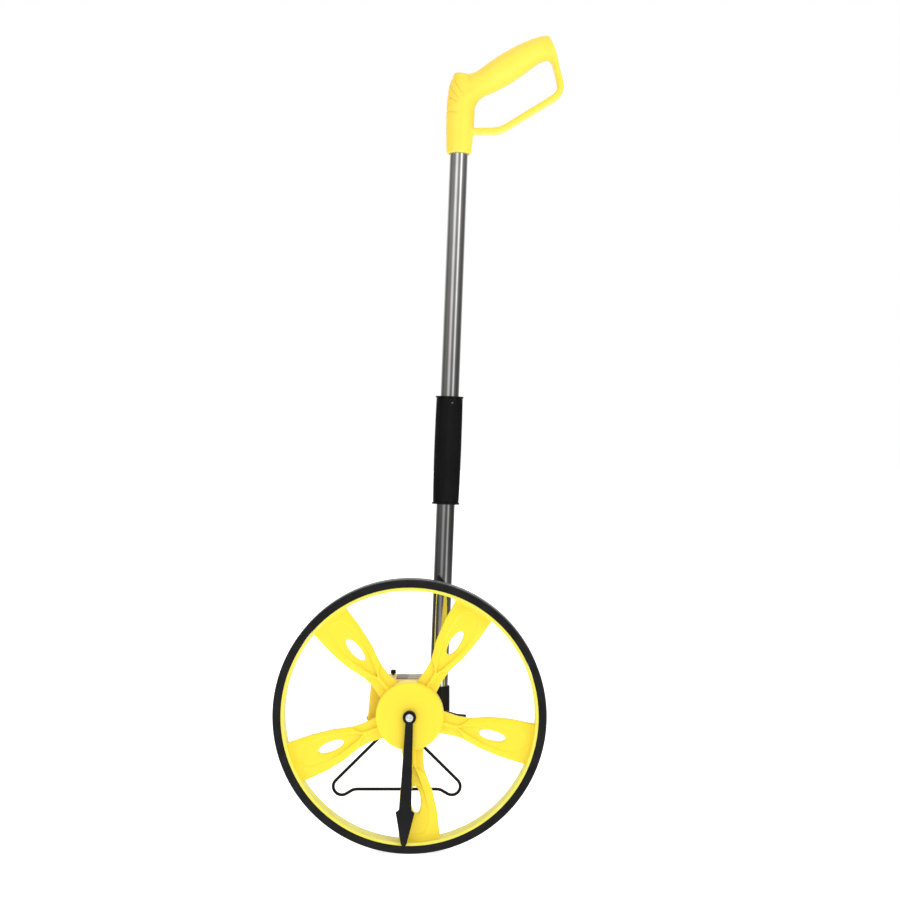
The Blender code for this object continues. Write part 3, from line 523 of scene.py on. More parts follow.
def steel(name, colour, stretch=(1, 1, 1), metallic=1.0):
    """Bare metal with fine scratches, which stretch makes run round a turned part."""
    made = Finish(name, colour, 0.3, metallic)
    scratch = made.noise(700, 4, stretch)
    dark = tuple(0.8 * c for c in colour)
    made.colour(made.colours(made.noise(150, 5), dark, colour))
    made.roughness(scratch, 0.2, 0.38)
    made.bump(scratch, 0.01)
    return made.material


def window_plastic():
    """Clear plastic gone slightly cloudy, with painted shade over the counter's left half for the dark
    interior seen through it.
    """
    made = Finish("window_acrylic", (0.6, 0.56, 0.5), 0.12, Alpha=0.42, Specular_IOR_Level=0.6)
    haze = made.noise(120, 5)
    clear = made.colours(haze, (0.62, 0.58, 0.5), (0.78, 0.74, 0.65))
    # painted shade: darker where the dark counter inside shows through the pane
    seen_through_shade = made.colours(haze, (0.24, 0.23, 0.25), (0.3, 0.29, 0.31))
    across = made.nodes.new("ShaderNodeSeparateXYZ")
    made.links.new(made.place, across.inputs[0])
    made.colour(made.blend(made.spread(across.outputs["X"], -0.0035, -0.0025), seen_through_shade, clear))
    made.roughness(haze, 0.07, 0.2, 0.3, 0.75)
    made.bump(made.noise(500, 3), 0.01)
    return made.material


def gear_plastic():
    """White gear plastic, slightly translucent."""
    made = Finish("acetal", (0.78, 0.77, 0.7), 0.42, Subsurface_Weight=0.1, Subsurface_Scale=0.001)
    made.colour(made.colours(made.noise(90, 4), (0.7, 0.69, 0.62), (0.82, 0.81, 0.76)))
    made.roughness(made.noise(300, 4), 0.34, 0.5)
    made.bump(made.noise(1200, 2), 0.02)
    return made.material


def enamel(name, colour, grain, smoothest, roughest):
    """Plain paint, with a roughness that varies over grains of a given number a metre."""
    made = Finish(name, colour, smoothest)
    made.roughness(made.noise(grain), smoothest, roughest)
    return made.material


YELLOW = yellow_plastic("yellow_wheel", (0.93, 0.725, 0.03), (0.92, 0.695, 0.024))
GRIP_YELLOW = yellow_plastic("yellow_grip", (0.93, 0.69, 0.072), (0.92, 0.66, 0.06), 0.04)
# painted light: the rim's yellow is a greener, less saturated copy of the wheel's, for how the light
# falls on its inner face
RIM_YELLOW_PAINTED_LIGHT = yellow_plastic("yellow_rim_painted_light", (0.78, 0.73, 0.08), (0.75, 0.7, 0.07))
# painted shade: the case's yellow is a darker, more amber copy of the wheel's, as its side lies in the
# spokes' shade
SHADED_CASE_YELLOW = yellow_plastic("yellow_case", (0.9, 0.64, 0.03), (0.87, 0.6, 0.024), 0.05)
BLACK = black_plastic("black_moulding", 0.009, 0.38)
SLEEVE_BLACK = black_plastic("black_sleeve", 0.0035, 0.4, 0.012)
DARK_STEEL = steel("dark_steel", (0.3, 0.3, 0.32))
WIRE_BLACK = black_plastic("black_coating", 0.008, 0.3, 0.02)
DRUM_BLACK = black_plastic("drum_black", 0.015, 0.45, 0.01)
RUBBER = rubber()
CHROME = chrome()
STEEL = steel("machined_steel", (0.62, 0.62, 0.63))
TURNED_STEEL = steel("turned_steel", (0.68, 0.67, 0.66), (1, 12, 1))
# painted highlight: the axle's steel is half near-white paint, so that its domed end shows bright
PAINTED_HIGHLIGHT_STEEL = steel("steel_painted_highlight", (0.9, 0.9, 0.92), (1, 12, 1), 0.5)
WINDOW = window_plastic()
ACETAL = gear_plastic()
DIGIT_WHITE = enamel("digit_white", (0.8, 0.8, 0.77), 900, 0.4, 0.6)
DRUM_RED = enamel("drum_red", (0.55, 0.03, 0.02), 600, 0.32, 0.5)


# --- wheel ----------------------------------------------------------------------------------

def tyre():
    """A ribbed and nibbed tread with rounded shoulders and a slightly sunk sidewall."""
    inner = RIM_OUTER + GAP
    shoulder, ribs, depth = 1.8, 6, 0.35
    width = TYRE_BACK - TYRE_FRONT
    tread = []
    columns = 72
    for column in range(columns + 1):
        across = column / columns
        lift = min(across, 1 - across) * width
        drop = shoulder - math.sqrt(max(shoulder ** 2 - max(shoulder - lift, 0) ** 2, 0))
        groove = depth * max(0.0, math.cos(math.tau * ribs * across)) ** 6 if lift > 2 else 0
        tread.append((TYRE_RADIUS - drop - groove, TYRE_BACK - across * width))
    wall = 0.25
    front = [(TYRE_RADIUS - 2.6, TYRE_FRONT), (154.2, TYRE_FRONT), (153.8, TYRE_FRONT + wall),
             (151.2, TYRE_FRONT + wall), (inner, TYRE_FRONT + 0.5)]
    back = [(radius, TYRE_FRONT + TYRE_BACK - y) for radius, y in reversed(front)]
    nibs = 240

    def tread_nibs(radius, height, angle):
        inside = TYRE_FRONT + 2.2 < height < TYRE_BACK - 2.2 and radius > TYRE_RADIUS - 0.8
        return radius - 0.22 * (0.5 + 0.5 * math.cos(nibs * angle)) ** 3 if inside else radius

    place(turned("tyre_tread", tread + front + back, steps=960, shape=tread_nibs),
          "wheel_assembly", RUBBER, "tread", "tyre")


def edge_drop(distance):
    """How far a face falls away towards its edge, which is rounded by 1 mm."""
    return 1 - np.sqrt(1 - (1 - np.clip(distance, 0, 1)) ** 2)


def spoke_relief(radius, across, lead, trail):
    """Height of a spoke's front face over the web's plane, in millimetres: a rib in the middle
    forks round a sunk leaf, and the sides slope down to the edges."""
    leaf = np.interp(radius, LEAF[:, 0], LEAF[:, 1])
    fork = np.interp(radius, FORK[:, 0], FORK[:, 1])
    half = np.where(across > 0, lead, trail)
    off = np.abs(across)
    shoulder = leaf + 1.6
    outer_share = smooth((radius - 57) / 55)
    crest = 3.6 - 1.0 * outer_share
    edge = 1.1 + 0.6 * outer_share
    sunk = 0.1 + 1.7 * smooth((radius - 70) / 45)
    slope = np.clip((off - shoulder) / np.maximum(half - shoulder, 1), 0, 1)
    band = crest + (edge - crest) * slope ** 1.4
    inner = smooth((off - leaf + 0.3) / 1.5)
    face = sunk + (band - sunk) * inner
    rib = smooth((fork + 0.5 - off) / 1.1)
    at_rim = 3.2 * smooth((radius - 141.5) / 5.5) ** 2
    return face * rib - edge_drop(np.minimum(lead - across, trail + across)) + at_rim


def spoke(index):
    """One spoke as a closed relief: front and back faces on one grid, with an oval hole."""
    rows, columns = 150, 64
    radii = np.linspace(31, 147.6, rows)
    shares = np.sin(np.linspace(-math.pi / 2, math.pi / 2, columns))
    radius, share = np.meshgrid(radii, shares, indexing="ij")
    lead = np.interp(radius, SPOKE_EDGES[:, 0], SPOKE_EDGES[:, 1])
    trail = np.interp(radius, SPOKE_EDGES[:, 0], SPOKE_EDGES[:, 2])
    for side in (lead, trail):
        for _ in range(6):
            side[1:-1] = (side[:-2] + side[1:-1] * 2 + side[2:]) / 4
    across = np.where(share > 0, share * lead, share * trail)
    out = np.sqrt(radius ** 2 - across ** 2)
    offset = np.hypot((out - HOLE_CENTRE) / HOLE_LENGTH, across / HOLE_WIDTH)
    in_hole = offset < 1
    grow = np.where(in_hole, 1 / np.maximum(offset, 1e-3), 1)
    front_height = spoke_relief(radius, across, lead, trail)
    rim = np.clip((np.maximum(offset, 1) - 1) * HOLE_WIDTH / 1.5, 0, 1)
    front_height -= 0.9 * (1 - rim) ** 2
    to_edge = np.minimum(lead - across, trail + across)
    pan = smooth((to_edge - 2.2) / 0.9) * smooth((offset - 1.25) / 0.15) * smooth((145 - radius) / 3)
    back_rib = smooth((2.0 - np.abs(across)) / 0.8) * (np.abs(out - HOLE_CENTRE) > 22)
    back_depth = 1.0 - 1.8 * pan * (1 - back_rib) - edge_drop(to_edge)
    across = across * grow
    out = HOLE_CENTRE + (out - HOLE_CENTRE) * grow
    turn = SPOKE_ANGLE + index * math.tau / SPOKES
    x = out * math.cos(turn) - across * math.sin(turn)
    z = out * math.sin(turn) + across * math.cos(turn)
    front = np.stack([x, WEB_FRONT - front_height, z], -1).reshape(-1, 3)
    back = np.stack([x, WEB_BACK + back_depth, z], -1).reshape(-1, 3)
    count = rows * columns
    inside = in_hole.reshape(-1)
    faces, used = [], {}
    for row in range(rows - 1):
        for column in range(columns - 1):
            a = row * columns + column
            corners = (a, a + 1, a + columns + 1, a + columns)
            if all(inside[c] for c in corners):
                continue
            faces.append(corners)
            faces.append(tuple(c + count for c in reversed(corners)))
            for one, two in zip(corners, corners[1:] + corners[:1]):
                key = (min(one, two), max(one, two))
                used.setdefault(key, []).append((one, two))
    for edge in used.values():
        if len(edge) == 1:
            one, two = edge[0]
            faces.append((two, one, one + count, two + count))
    return mesh_piece(f"spoke_{index}", np.concatenate([front, back]), faces)


def rim():
    """The band under the tyre, with a small lip at each side."""
    lip = 0.35
    band = soften([(RIM_OUTER, TYRE_BACK), (RIM_OUTER, TYRE_FRONT), (RIM_INNER - lip, TYRE_FRONT),
                   (RIM_INNER - lip, TYRE_FRONT + 1.6), (RIM_INNER, TYRE_FRONT + 2.4),
                   (RIM_INNER - 0.5, WEB_FRONT - 1.6), (RIM_INNER - 0.5, WEB_BACK + 1.6),
                   (RIM_INNER, TYRE_BACK - 2.4), (RIM_INNER - lip, TYRE_BACK - 1.6),
                   (RIM_INNER - lip, TYRE_BACK)], 0.5)
    place(turned("rim", band, steps=360), "wheel_assembly", RIM_YELLOW_PAINTED_LIGHT, "yellow_moulding",
          "wheel", angle=40)


def web():
    """The spokes and the hub, with ten ribs behind the hub."""
    parts = [spoke(index) for index in range(SPOKES)]
    plate_back = WEB_BACK + 1
    hub = soften([(HUB_RADIUS, plate_back + 4.5), (HUB_RADIUS, WEB_FRONT), (14.5, WEB_FRONT),
                  (14.5, 12.2), (11.3, 12.2), (11.3, 31.8), (6.6, 31.8), (6.6, 45), (8.6, 45),
                  (8.6, 33.5), (14.5, 33.5), (14.5, plate_back), (HUB_RADIUS - 2.4, plate_back),
                  (HUB_RADIUS - 2.4, plate_back + 4.5)], 0.5)
    parts.append(turned("hub", hub, steps=144))
    ribs = 10
    for number in range(ribs):
        rib = block(f"hub_rib_{number}", (13.5, plate_back - 1, -0.9),
                    (HUB_RADIUS - 1.5, plate_back + 3.4, 0.9), 0.35, 2)
        rib.data.transform(Matrix.Rotation(SPOKE_ANGLE + math.tau / ribs * number, 4, "Y"))
        parts.append(rib)
    place(joined("wheel_web", *parts), "wheel_assembly", YELLOW, "yellow_moulding", "wheel",
          angle=40)


def hub_cover():
    """The smooth cap in front of the spokes."""
    front = low("hub_cap").y
    bore, rounding, wall = 7.3, 1.6, 2
    cap = [(bore, front + 0.25), (bore + 1, front + 0.02), (20, front),
           (HUB_RADIUS - 3.6, front + 0.12)]
    cap += [(HUB_RADIUS + rounding * (math.sin(a) - 1), front + 1.8 - rounding * math.cos(a))
            for a in np.linspace(0.05, math.pi / 2, 8)]
    cap += [(HUB_RADIUS, WEB_FRONT - GAP), (HUB_RADIUS - wall, WEB_FRONT - GAP),
            (HUB_RADIUS - wall, front + wall), (bore, front + wall)]
    place(turned("hub_cover", cap, steps=192), "wheel_assembly", YELLOW, "yellow_moulding",
          "hub_cap", angle=40)


def bearings():
    outer, inner, groove = 11.0, 4.3, 0.35
    for name in ("bearing_front", "bearing_rear"):
        front, back = low(name).y, high(name).y
        face = [(outer, 0), (outer - 1.6, 0), (outer - 1.7, groove), (inner + 1.7, groove),
                (inner + 1.6, 0), (inner, 0)]
        profile = [(r, front + y) for r, y in face] + [(r, back - y) for r, y in reversed(face)]
        place(turned(f"{name}_race", soften(profile, 0.15), steps=72), "wheel_assembly",
              TURNED_STEEL, "steel", name)
    place(ring("bearing_tube", 6.2, inner, low("bearing_spacer").y, high("bearing_spacer").y),
          "wheel_assembly", TURNED_STEEL, "steel", "bearing_spacer")


# --- axle and pointer -----------------------------------------------------------------------

def axle():
    """The axle with its domed end, the start pointer, and what is threaded on behind it."""
    end = high("axle").y
    rod, tip, dome = 4, 4.35, 1.1
    profile = [(0, end), (rod - 0.5, end), (rod, end - 0.5), (rod, 7), (tip, 6.9), (tip, dome)]
    profile += [(tip * math.cos(a), dome - 1.05 * math.sin(a)) for a in np.linspace(0.15, 1.5, 10)]
    profile += [(0, 0)]
    place(turned("axle_rod", profile, steps=64), "frame", PAINTED_HIGHLIGHT_STEEL, "steel", "axle")

    lean = Matrix.Rotation(math.radians(2.6), 4, "Y")
    eye = arc((0, 0), 7.8, 237, -57, 48)
    half = [(4.4, -6.4), (5.2, -40), (6.9, -103), (7.3, -107), (10.9, -110), (3.2, -146.5),
            (1.6, -148)]
    outline = eye + half + [(-x, z) for x, z in reversed(half)]
    hole = arc((0, 0), 4.65, 0, 354, 59)
    front, back = low("pointer").y, high("pointer").y
    arrow = plate("pointer_arrow", [outline, hole], front, back, 0.55)
    arrow.data.transform(lean)
    place(arrow, "frame", BLACK, "black_plastic", "pointer")

    for node, outer, edge in (("pointer_spacer", 6.8, 0.5), ("axle_sleeve", 6.0, 0.4)):
        place(ring(f"{node}_tube", outer, 4.3, low(node).y, high(node).y, edge=edge),
              "frame", TURNED_STEEL, "steel", node)
    nut = plate("hex_nut", [arc((0, 0), 7.5, 0, 300, 5), arc((0, 0), 4.4, 0, 350, 35)],
                low("axle_nut").y, high("axle_nut").y, 0.5)
    place(nut, "frame", STEEL, "steel", "axle_nut")


# --- counter case ---------------------------------------------------------------------------

def looking(direction, spot):
    """A matrix whose local +Z looks along a direction, at a spot."""
    turn = Vector(direction).to_track_quat("Z", "Y").to_matrix().to_4x4()
    return Matrix.Translation(spot) @ turn


def screw(name, node, direction, seat, radius, height, slot, body="frame"):
    """A screw head with a domed top and a cross recess, looking along a direction."""
    matrix = looking(direction, seat)
    narrow = slot * 0.24
    profile = [(0, height)] + [(radius * math.sin(a) * 0.96, height * (0.55 + 0.45 * math.cos(a)))
                               for a in np.linspace(0.3, 1.45, 8)]
    profile += [(radius, height * 0.5), (radius, 0), (0, 0)]
    head = turned(name, profile, matrix, "Z", 48)
    cutters = [in_mm(block(f"{name}_slot", (-x, -y, height * 0.35), (x, y, height + 1)), matrix)
               for x, y in ((slot, narrow), (narrow, slot))]
    place(baked(combine(head, "DIFFERENCE", *cutters)), body, STEEL, "steel", node)


def flare(piece, top):
    """Spread a box of the case downwards on its left side."""
    for vert in piece.data.vertices:
        if vert.co.x < 0:
            vert.co.x -= CASE_FLARE * (top * MM - vert.co.z)
    return piece


def case_half(name, lowest, highest, open_side, cutters, *extras):
    """A hollow half of the case. Its box reaches past the seam, so that the seam edge is square."""
    reach = Vector((0, 6, 0))
    shell_low = lowest - reach if open_side < 0 else lowest
    shell_high = highest + reach if open_side > 0 else highest
    wall = Vector((2, 2, 2))
    shell = flare(block(name, shell_low, shell_high, 3.0, 6), highest.z)
    inside = flare(block(f"{name}_inside", shell_low + wall, shell_high - wall, 1.2, 2), highest.z)
    side = Vector((80, 0, 80))
    seam = highest.y if open_side > 0 else lowest.y - 20
    trim = block(f"{name}_trim", Vector((0, seam, 0)) - side, Vector((0, seam + 20, 0)) + side)
    combine(shell, "DIFFERENCE", inside, trim, *cutters)
    return joined(name, shell, *extras)


def case():
    """The two shells with their openings, the case screws and the window."""
    front_low, front_high = low("housing_front"), high("housing_front")
    rear_low, rear_high = low("housing_rear"), high("housing_rear")
    for corner in (front_low, rear_low):
        corner.x += CASE_FLARE * (front_high.z - front_low.z)
    pane_low, pane_high = low("window"), high("window")
    wide = 1.2 + GAP
    opening_low = (pane_low.x + wide, pane_low.y + wide, 30)
    opening_high = (pane_high.x - wide, pane_high.y - wide, 44)

    window_hole = [block(f"window_hole_{n}", opening_low, opening_high, 0.8, 3) for n in range(2)]
    gear_hole = ring("gear_hole", 10.5, 0, 30, 40, edge=0)
    slot_hole = block("lever_hole", (14, 40.4, 4.5), (22, 45.2, 15.5), 0.6, 2)
    place(case_half("case_front", front_low, front_high, 1, [window_hole[0], gear_hole, slot_hole]),
          "frame", SHADED_CASE_YELLOW, "yellow_case", "housing_front", angle=40)

    pockets = [ring(f"pocket_{n}", 2.9, 0, rear_high.y - 1.8, rear_high.y + 5,
                    Matrix.Translation((x, 0, z)), edge=0, steps=48)
               for n, (x, z) in enumerate(CASE_SCREWS)]
    nut_pocket = ring("nut_pocket", 8.3, 0, 78.3, 90, edge=0)
    grooves = [block("back_groove", (x, rear_high.y - 0.6, -22), (x + 1.4, rear_high.y + 2, -12))
               for x in range(-34, 14, 6)]
    boss = ring("axle_boss", 10.5, 4.3, 64, rear_high.y - 1)
    place(case_half("case_rear", rear_low, rear_high, -1,
                    [window_hole[1], nut_pocket, *pockets, *grooves], boss),
          "frame", SHADED_CASE_YELLOW, "yellow_case", "housing_rear", angle=40)

    for number, (x, z) in enumerate(CASE_SCREWS, 1):
        node = f"housing_screw_{number}"
        screw(f"case_screw_{number}", node, (0, 1, 0), (x, high(node).y - 1.3, z), 2.6, 1.3, 1.5)

    pane = block("window_pane", (opening_low[0] + GAP, opening_low[1] + GAP, pane_high.z - 4),
                 (opening_high[0] - GAP, opening_high[1] - GAP, pane_high.z), 0.5, 3)
    flange = block("window_rim", pane_low, (pane_high.x, pane_high.y, pane_low.z + 0.8), 0.2, 2)
    place(baked(combine(pane, "UNION", flange)), "frame", WINDOW, "clear_window", "window")


def knob_and_side_screw():
    """The ribbed knob beside the window and the screw end on the case's left side."""
    knob_low, knob_high = low("window_knob"), high("window_knob")
    centre = (knob_low + knob_high) / 2
    tall, wide, stem, ribs = 4.8, 3.2, 1.5, 14
    profile = soften([(0, tall), (wide - 0.6, tall), (wide, tall - 0.8), (wide, 0.1), (stem, 0.1),
                      (stem, -4.1), (0, -4.1)], 0.4, False)

    def ribbed(radius, height, angle):
        return radius - 0.18 * (0.5 + 0.5 * math.cos(ribs * angle)) if radius > 2.9 else radius

    knob = turned("knob_cap", profile, Matrix.Translation((centre.x, centre.y, knob_high.z - tall)),
                  "Z", 112, ribbed)
    place(knob, "frame", BLACK, "black_plastic", "window_knob")
    end = low("side_screw")
    middle = (end + high("side_screw")) / 2
    height = 2.1
    screw("side_screw_head", "side_screw", (-1, 0, 0), (end.x + height, middle.y, middle.z),
          2.4, height, 1.4)


def digits(node, body, finish, slot):
    """A counter drum with the numbers 0 to 9 round it, 0 at the top."""
    front, back = low(node).y, high(node).y
    radius = (high(node).z - low(node).z) / 2
    hole = 1.8
    face = [(radius - 0.25, front), (radius - 0.05, front + 0.2), (radius - 0.05, back - 0.2),
            (radius - 0.25, back), (radius - 2.2, back), (radius - 2.4, back - 0.5), (3.4, back - 0.5),
            (3.2, back), (hole, back), (hole, front)]
    centre = Matrix.Translation((COUNTER_POINT.x, 0, COUNTER_POINT.z))
    place(turned(f"{node}_drum", face, centre, "Y", 100), body, finish, slot, node)
    work = bmesh.new()
    for value in range(10):
        text = bpy.data.curves.new("digit", "FONT")
        text.body = str(value)
        text.size = 6.6
        text.align_x, text.align_y = "CENTER", "CENTER"
        text.resolution_u = 3
        shape = baked(linked("digit", text))
        for vert in shape.data.vertices:
            along, up = vert.co.x, vert.co.y
            angle = -math.radians(36) * value - up / radius
            vert.co = (COUNTER_POINT.x + radius * math.sin(angle), (front + back) / 2 + along,
                       COUNTER_POINT.z + radius * math.cos(angle))
        shape.data.transform(Matrix.Scale(MM, 4))
        work.from_mesh(shape.data)
        bpy.data.objects.remove(shape, do_unlink=True)
    place(from_work(f"{node}_numbers", work), body, DIGIT_WHITE, slot)


def counter():
    """The digit drums, and finishes for the small CAD parts that show behind the window, through
    the gaps and at the open fold."""
    digits("digit_wheel_1", "counter_drive", DRUM_RED, "fast_digit")
    for number in range(2, 6):
        digits(f"digit_wheel_{number}", f"digit_{number}", DRUM_BLACK, "digit_plastic")
    pinions = [f"transfer_pinion_{number}" for number in range(1, 5)]
    for finish, nodes in (
            (ACETAL, ["drive_gear", "input_gear", *pinions]),
            (STEEL, ["counter_frame"]),
            (TURNED_STEEL, ["counter_shaft", "transfer_shaft", "lever_pin", "hinge_pin"])):
        for node in nodes:
            bevel(paint(frame["nodes"][node], finish, 35), 0.15, 2)
    paint(frame["nodes"]["lever_spring"], STEEL, 35)


# --- pole -----------------------------------------------------------------------------------

def bracket():
    """The moulding that holds the pole's foot, and its two screws."""
    plate_x = low("pole_bracket").x
    back = block("bracket_plate", (plate_x, 47, -8), (plate_x + 3, 80.5, 30), 0.9, 4)
    socket = turned("socket", soften([(0, 28), (13.5, 28), (13.5, -3), (0, -3)], 0.9, False),
                    Matrix.Translation((33, 60, 0)), "Z", 128)
    gussets = [block(f"gusset_{n}", (plate_x + 1, y - 1.2, -5), (plate_x + 7, y + 1.2, 27), 0.5, 3)
               for n, y in enumerate((49.2, 70.8))]
    bore = ring("bore", TUBE_RADIUS + GAP, 0, -0.3, 60, POLE, "Z", 96, 0)
    side = block("side", (10, 40, -20), (plate_x, 80, 40))
    combine(back, "UNION", socket, *gussets)
    combine(back, "DIFFERENCE", bore, side)
    body = baked(back)
    body.name = "bracket_moulding"
    place(body, "frame", BLACK, "black_plastic", "pole_bracket", angle=35)
    for number in (1, 2):
        node = f"bracket_screw_{number}"
        middle = (low(node) + high(node)) / 2
        screw(f"{node}_head", node, (1, 0, 0), (plate_x + 3.2, middle.y, middle.z), 2.7, 1.7, 1.5)


def pole():
    """Both tubes, the fold's knuckles and the ribbed sleeve that covers them."""
    for node, name, body, start, end in (
            ("lower_tube", "pole_lower", "frame", 0, LOWER_TUBE_TOP),
            ("upper_tube", "pole_upper", "upper_pole", UPPER_TUBE_FOOT, TUBE_TOP)):
        place(ring(name, TUBE_RADIUS, TUBE_BORE, start, end, POLE, "Z", 160, 0.35),
              body, CHROME, "chrome_tube", node)
    for node in ("lower_knuckle", "upper_knuckle"):
        bevel(paint(frame["nodes"][node], STEEL), 0.3, 2)

    top, foot = SLEEVE_HIGH, SLEEVE_LOW
    wide, narrow = 13.8, TUBE_RADIUS + GAP
    outside = [(14.6, top), (16.5, top), (16.5, top - 1.7), (15.5, top - 2.2)]
    table = [(top - 4, 15.65), (top - 24, 15.95), (top - 62, 16.15), (foot + 26, 15.85),
             (foot + 4, 15.4)]
    heights = np.linspace(top - 3.2, foot + 3.2, 60)
    radii = np.interp(-heights, [-h for h, _ in table], [r for _, r in table])
    outside += list(zip(radii, heights))
    outside += [(15.2, foot + 2.2), (16.5, foot + 1.7), (16.5, foot)]
    inside = [(wide, foot), (wide, foot + 45), (narrow, foot + 48), (narrow, top)]

    def ribbed(radius, height, angle):
        inside_band = foot + 5 < height < top - 5 and radius > 15
        fade = min(1.0, (height - foot - 5) / 3, (top - 5 - height) / 3) if inside_band else 0
        return radius - 0.3 * fade * (0.5 + 0.5 * math.cos(SLEEVE_RIBS * angle)) ** 0.7

    sleeve = turned("sleeve_cover", outside + inside, POLE, "Z", SLEEVE_RIBS * 8, ribbed)
    place(sleeve, "sliding_sleeve", SLEEVE_BLACK, "sleeve_plastic", "sleeve", angle=40)
    dome = soften([(0, 15.8), (1.0, 15.6), (1.3, 15.1), (1.3, 12.9), (0, 12.9)], 0.2, False)
    spot = Matrix.Translation((3.4, 0, top - 8)) @ Matrix.Rotation(math.pi, 4, "Z")
    rivet = turned("rivet_head", dome, POLE @ spot, "Y", 32)
    place(rivet, "sliding_sleeve", DARK_STEEL, "steel", "sleeve_rivet")


# --- grip -----------------------------------------------------------------------------------

SOCKET = np.array([(GRIP_FOOT, 14.6), (668, 15.2), (680, 15.9), (692, 16.6), (708, 17.0), (718, 16.9),
                   (727, 16.5), (740, 15.3), (748.5, 12.9), (755, 10.5), (762, 7.2)])
BARREL = np.array([(60.7, 737.5, 11.6), (67, 740.2, 13.4), (73.7, 742.4, 15.2), (80, 744.8, 15.4),
                   (87, 747.4, 15.6), (94, 751.6, 16.5), (101.5, 756.2, 17.2), (109, 760.9, 17.6),
                   (117.5, 766.2, 17.6), (125, 771.2, 17.2), (132.5, 776.0, 16.6), (140, 780.4, 15.8),
                   (147.5, 784.3, 15.1), (158, 788.3, 14.3), (172, 790.6, 13.0)])
GUARD = ([(60, 689), (98.8, 689), (106.8, 690.5), (113.8, 693.7)]
         + arc((161.7, 743), 17, -58, 20, 10) + [(170.2, 779.3), (164, 792.5)])
GUARD_HALF = (3.4, 9.0)
GUARD_HALVES = ((3, 5, 9, 13, 15), (3.4, 3.6, 3.9, 3.7, 3.4))   # along the guard
SOCKET_TOP = 758.9                # at the socket's left corner
GROOVES = ((765.2, 0.352, 112), (750.3, 0.32, 92), (733.1, 0.156, 92), (713.7, 0.054, 88))


def near_chain(points, chain):
    """Distance to a chain of segments in a plane, and the share of the way along the nearest."""
    best = np.full(len(points), 1e9)
    level = np.zeros(len(points))
    for index in range(len(chain) - 1):
        start, end = np.array(chain[index][:2]), np.array(chain[index + 1][:2])
        span = end - start
        share = np.clip((points - start) @ span / (span @ span), 0, 1)
        away = np.linalg.norm(points - start - share[:, None] * span, axis=1)
        closer = away < best
        best = np.where(closer, away, best)
        level = np.where(closer, index + share, level)
    return best, level


def soft_union(one, two, blend):
    """The nearer of two distances, blended where they are close."""
    share = np.clip(0.5 + 0.5 * (two - one) / blend, 0, 1)
    return two + (one - two) * share - blend * share * (1 - share)


POLE_INVERSE = np.array(POLE.inverted())


def grip_field(points):
    """Signed distance, in millimetres, to the moulded handle: socket, grip and guard bar."""
    local = points @ POLE_INVERSE[:3, :3].T + POLE_INVERSE[:3, 3]
    axial = np.hypot(local[:, 0], local[:, 1])
    height = local[:, 2]
    x, z = points[:, 0], points[:, 2]
    socket = axial - np.interp(height, SOCKET[:, 0], SOCKET[:, 1])
    top = z - SOCKET_TOP + 0.17 * (x - 52.6)
    socket = -soft_union(-socket, -top, 0.4)
    flat = points[:, [0, 2]]
    away, level = near_chain(flat, BARREL)
    radius = np.interp(level, np.arange(len(BARREL)), BARREL[:, 2])
    barrel = np.hypot(away, points[:, 1] - POLE_FOOT.y) - radius
    away, level = near_chain(flat, GUARD)
    corner = 3.1
    half = np.interp(level, GUARD_HALVES[0], GUARD_HALVES[1])
    side = np.maximum(away - half + corner, 0)
    depth = np.maximum(np.abs(points[:, 1] - POLE_FOOT.y) - GUARD_HALF[1] + corner, 0)
    guard = np.hypot(side, depth) - corner
    under = smooth((744 + 0.52 * (x - 75) - z) / 14)
    body = soft_union(socket, barrel, 3.5 + 12 * under)
    body = soft_union(body, guard, 2.5 + 8.5 * smooth((x - 130) / 20))
    end = (x - 163.9) * 0.92 + (z - 802.7) * 0.392
    body = -soft_union(-body, -end, 1.6)
    body = -soft_union(-body, -(GRIP_FOOT - height), 1.6)
    bore = np.maximum(axial - TUBE_RADIUS - GAP, height - TUBE_TOP - GAP)
    return -soft_union(-body, bore, 0.5)


def grip_slope(points):
    """The field's value and its gradient."""
    step = 0.05
    value = grip_field(points)
    return value, np.stack([(grip_field(points + step * axis) - value) / step
                            for axis in np.eye(3)], -1)


def settle(points, rounds):
    """Move points on to the handle's surface along the field's gradient."""
    for _ in range(rounds):
        value, slope = grip_slope(points)
        size = np.maximum((slope ** 2).sum(-1), 0.25)
        points = points - np.clip(value / size, -1.5, 1.5)[:, None] * slope
    return points


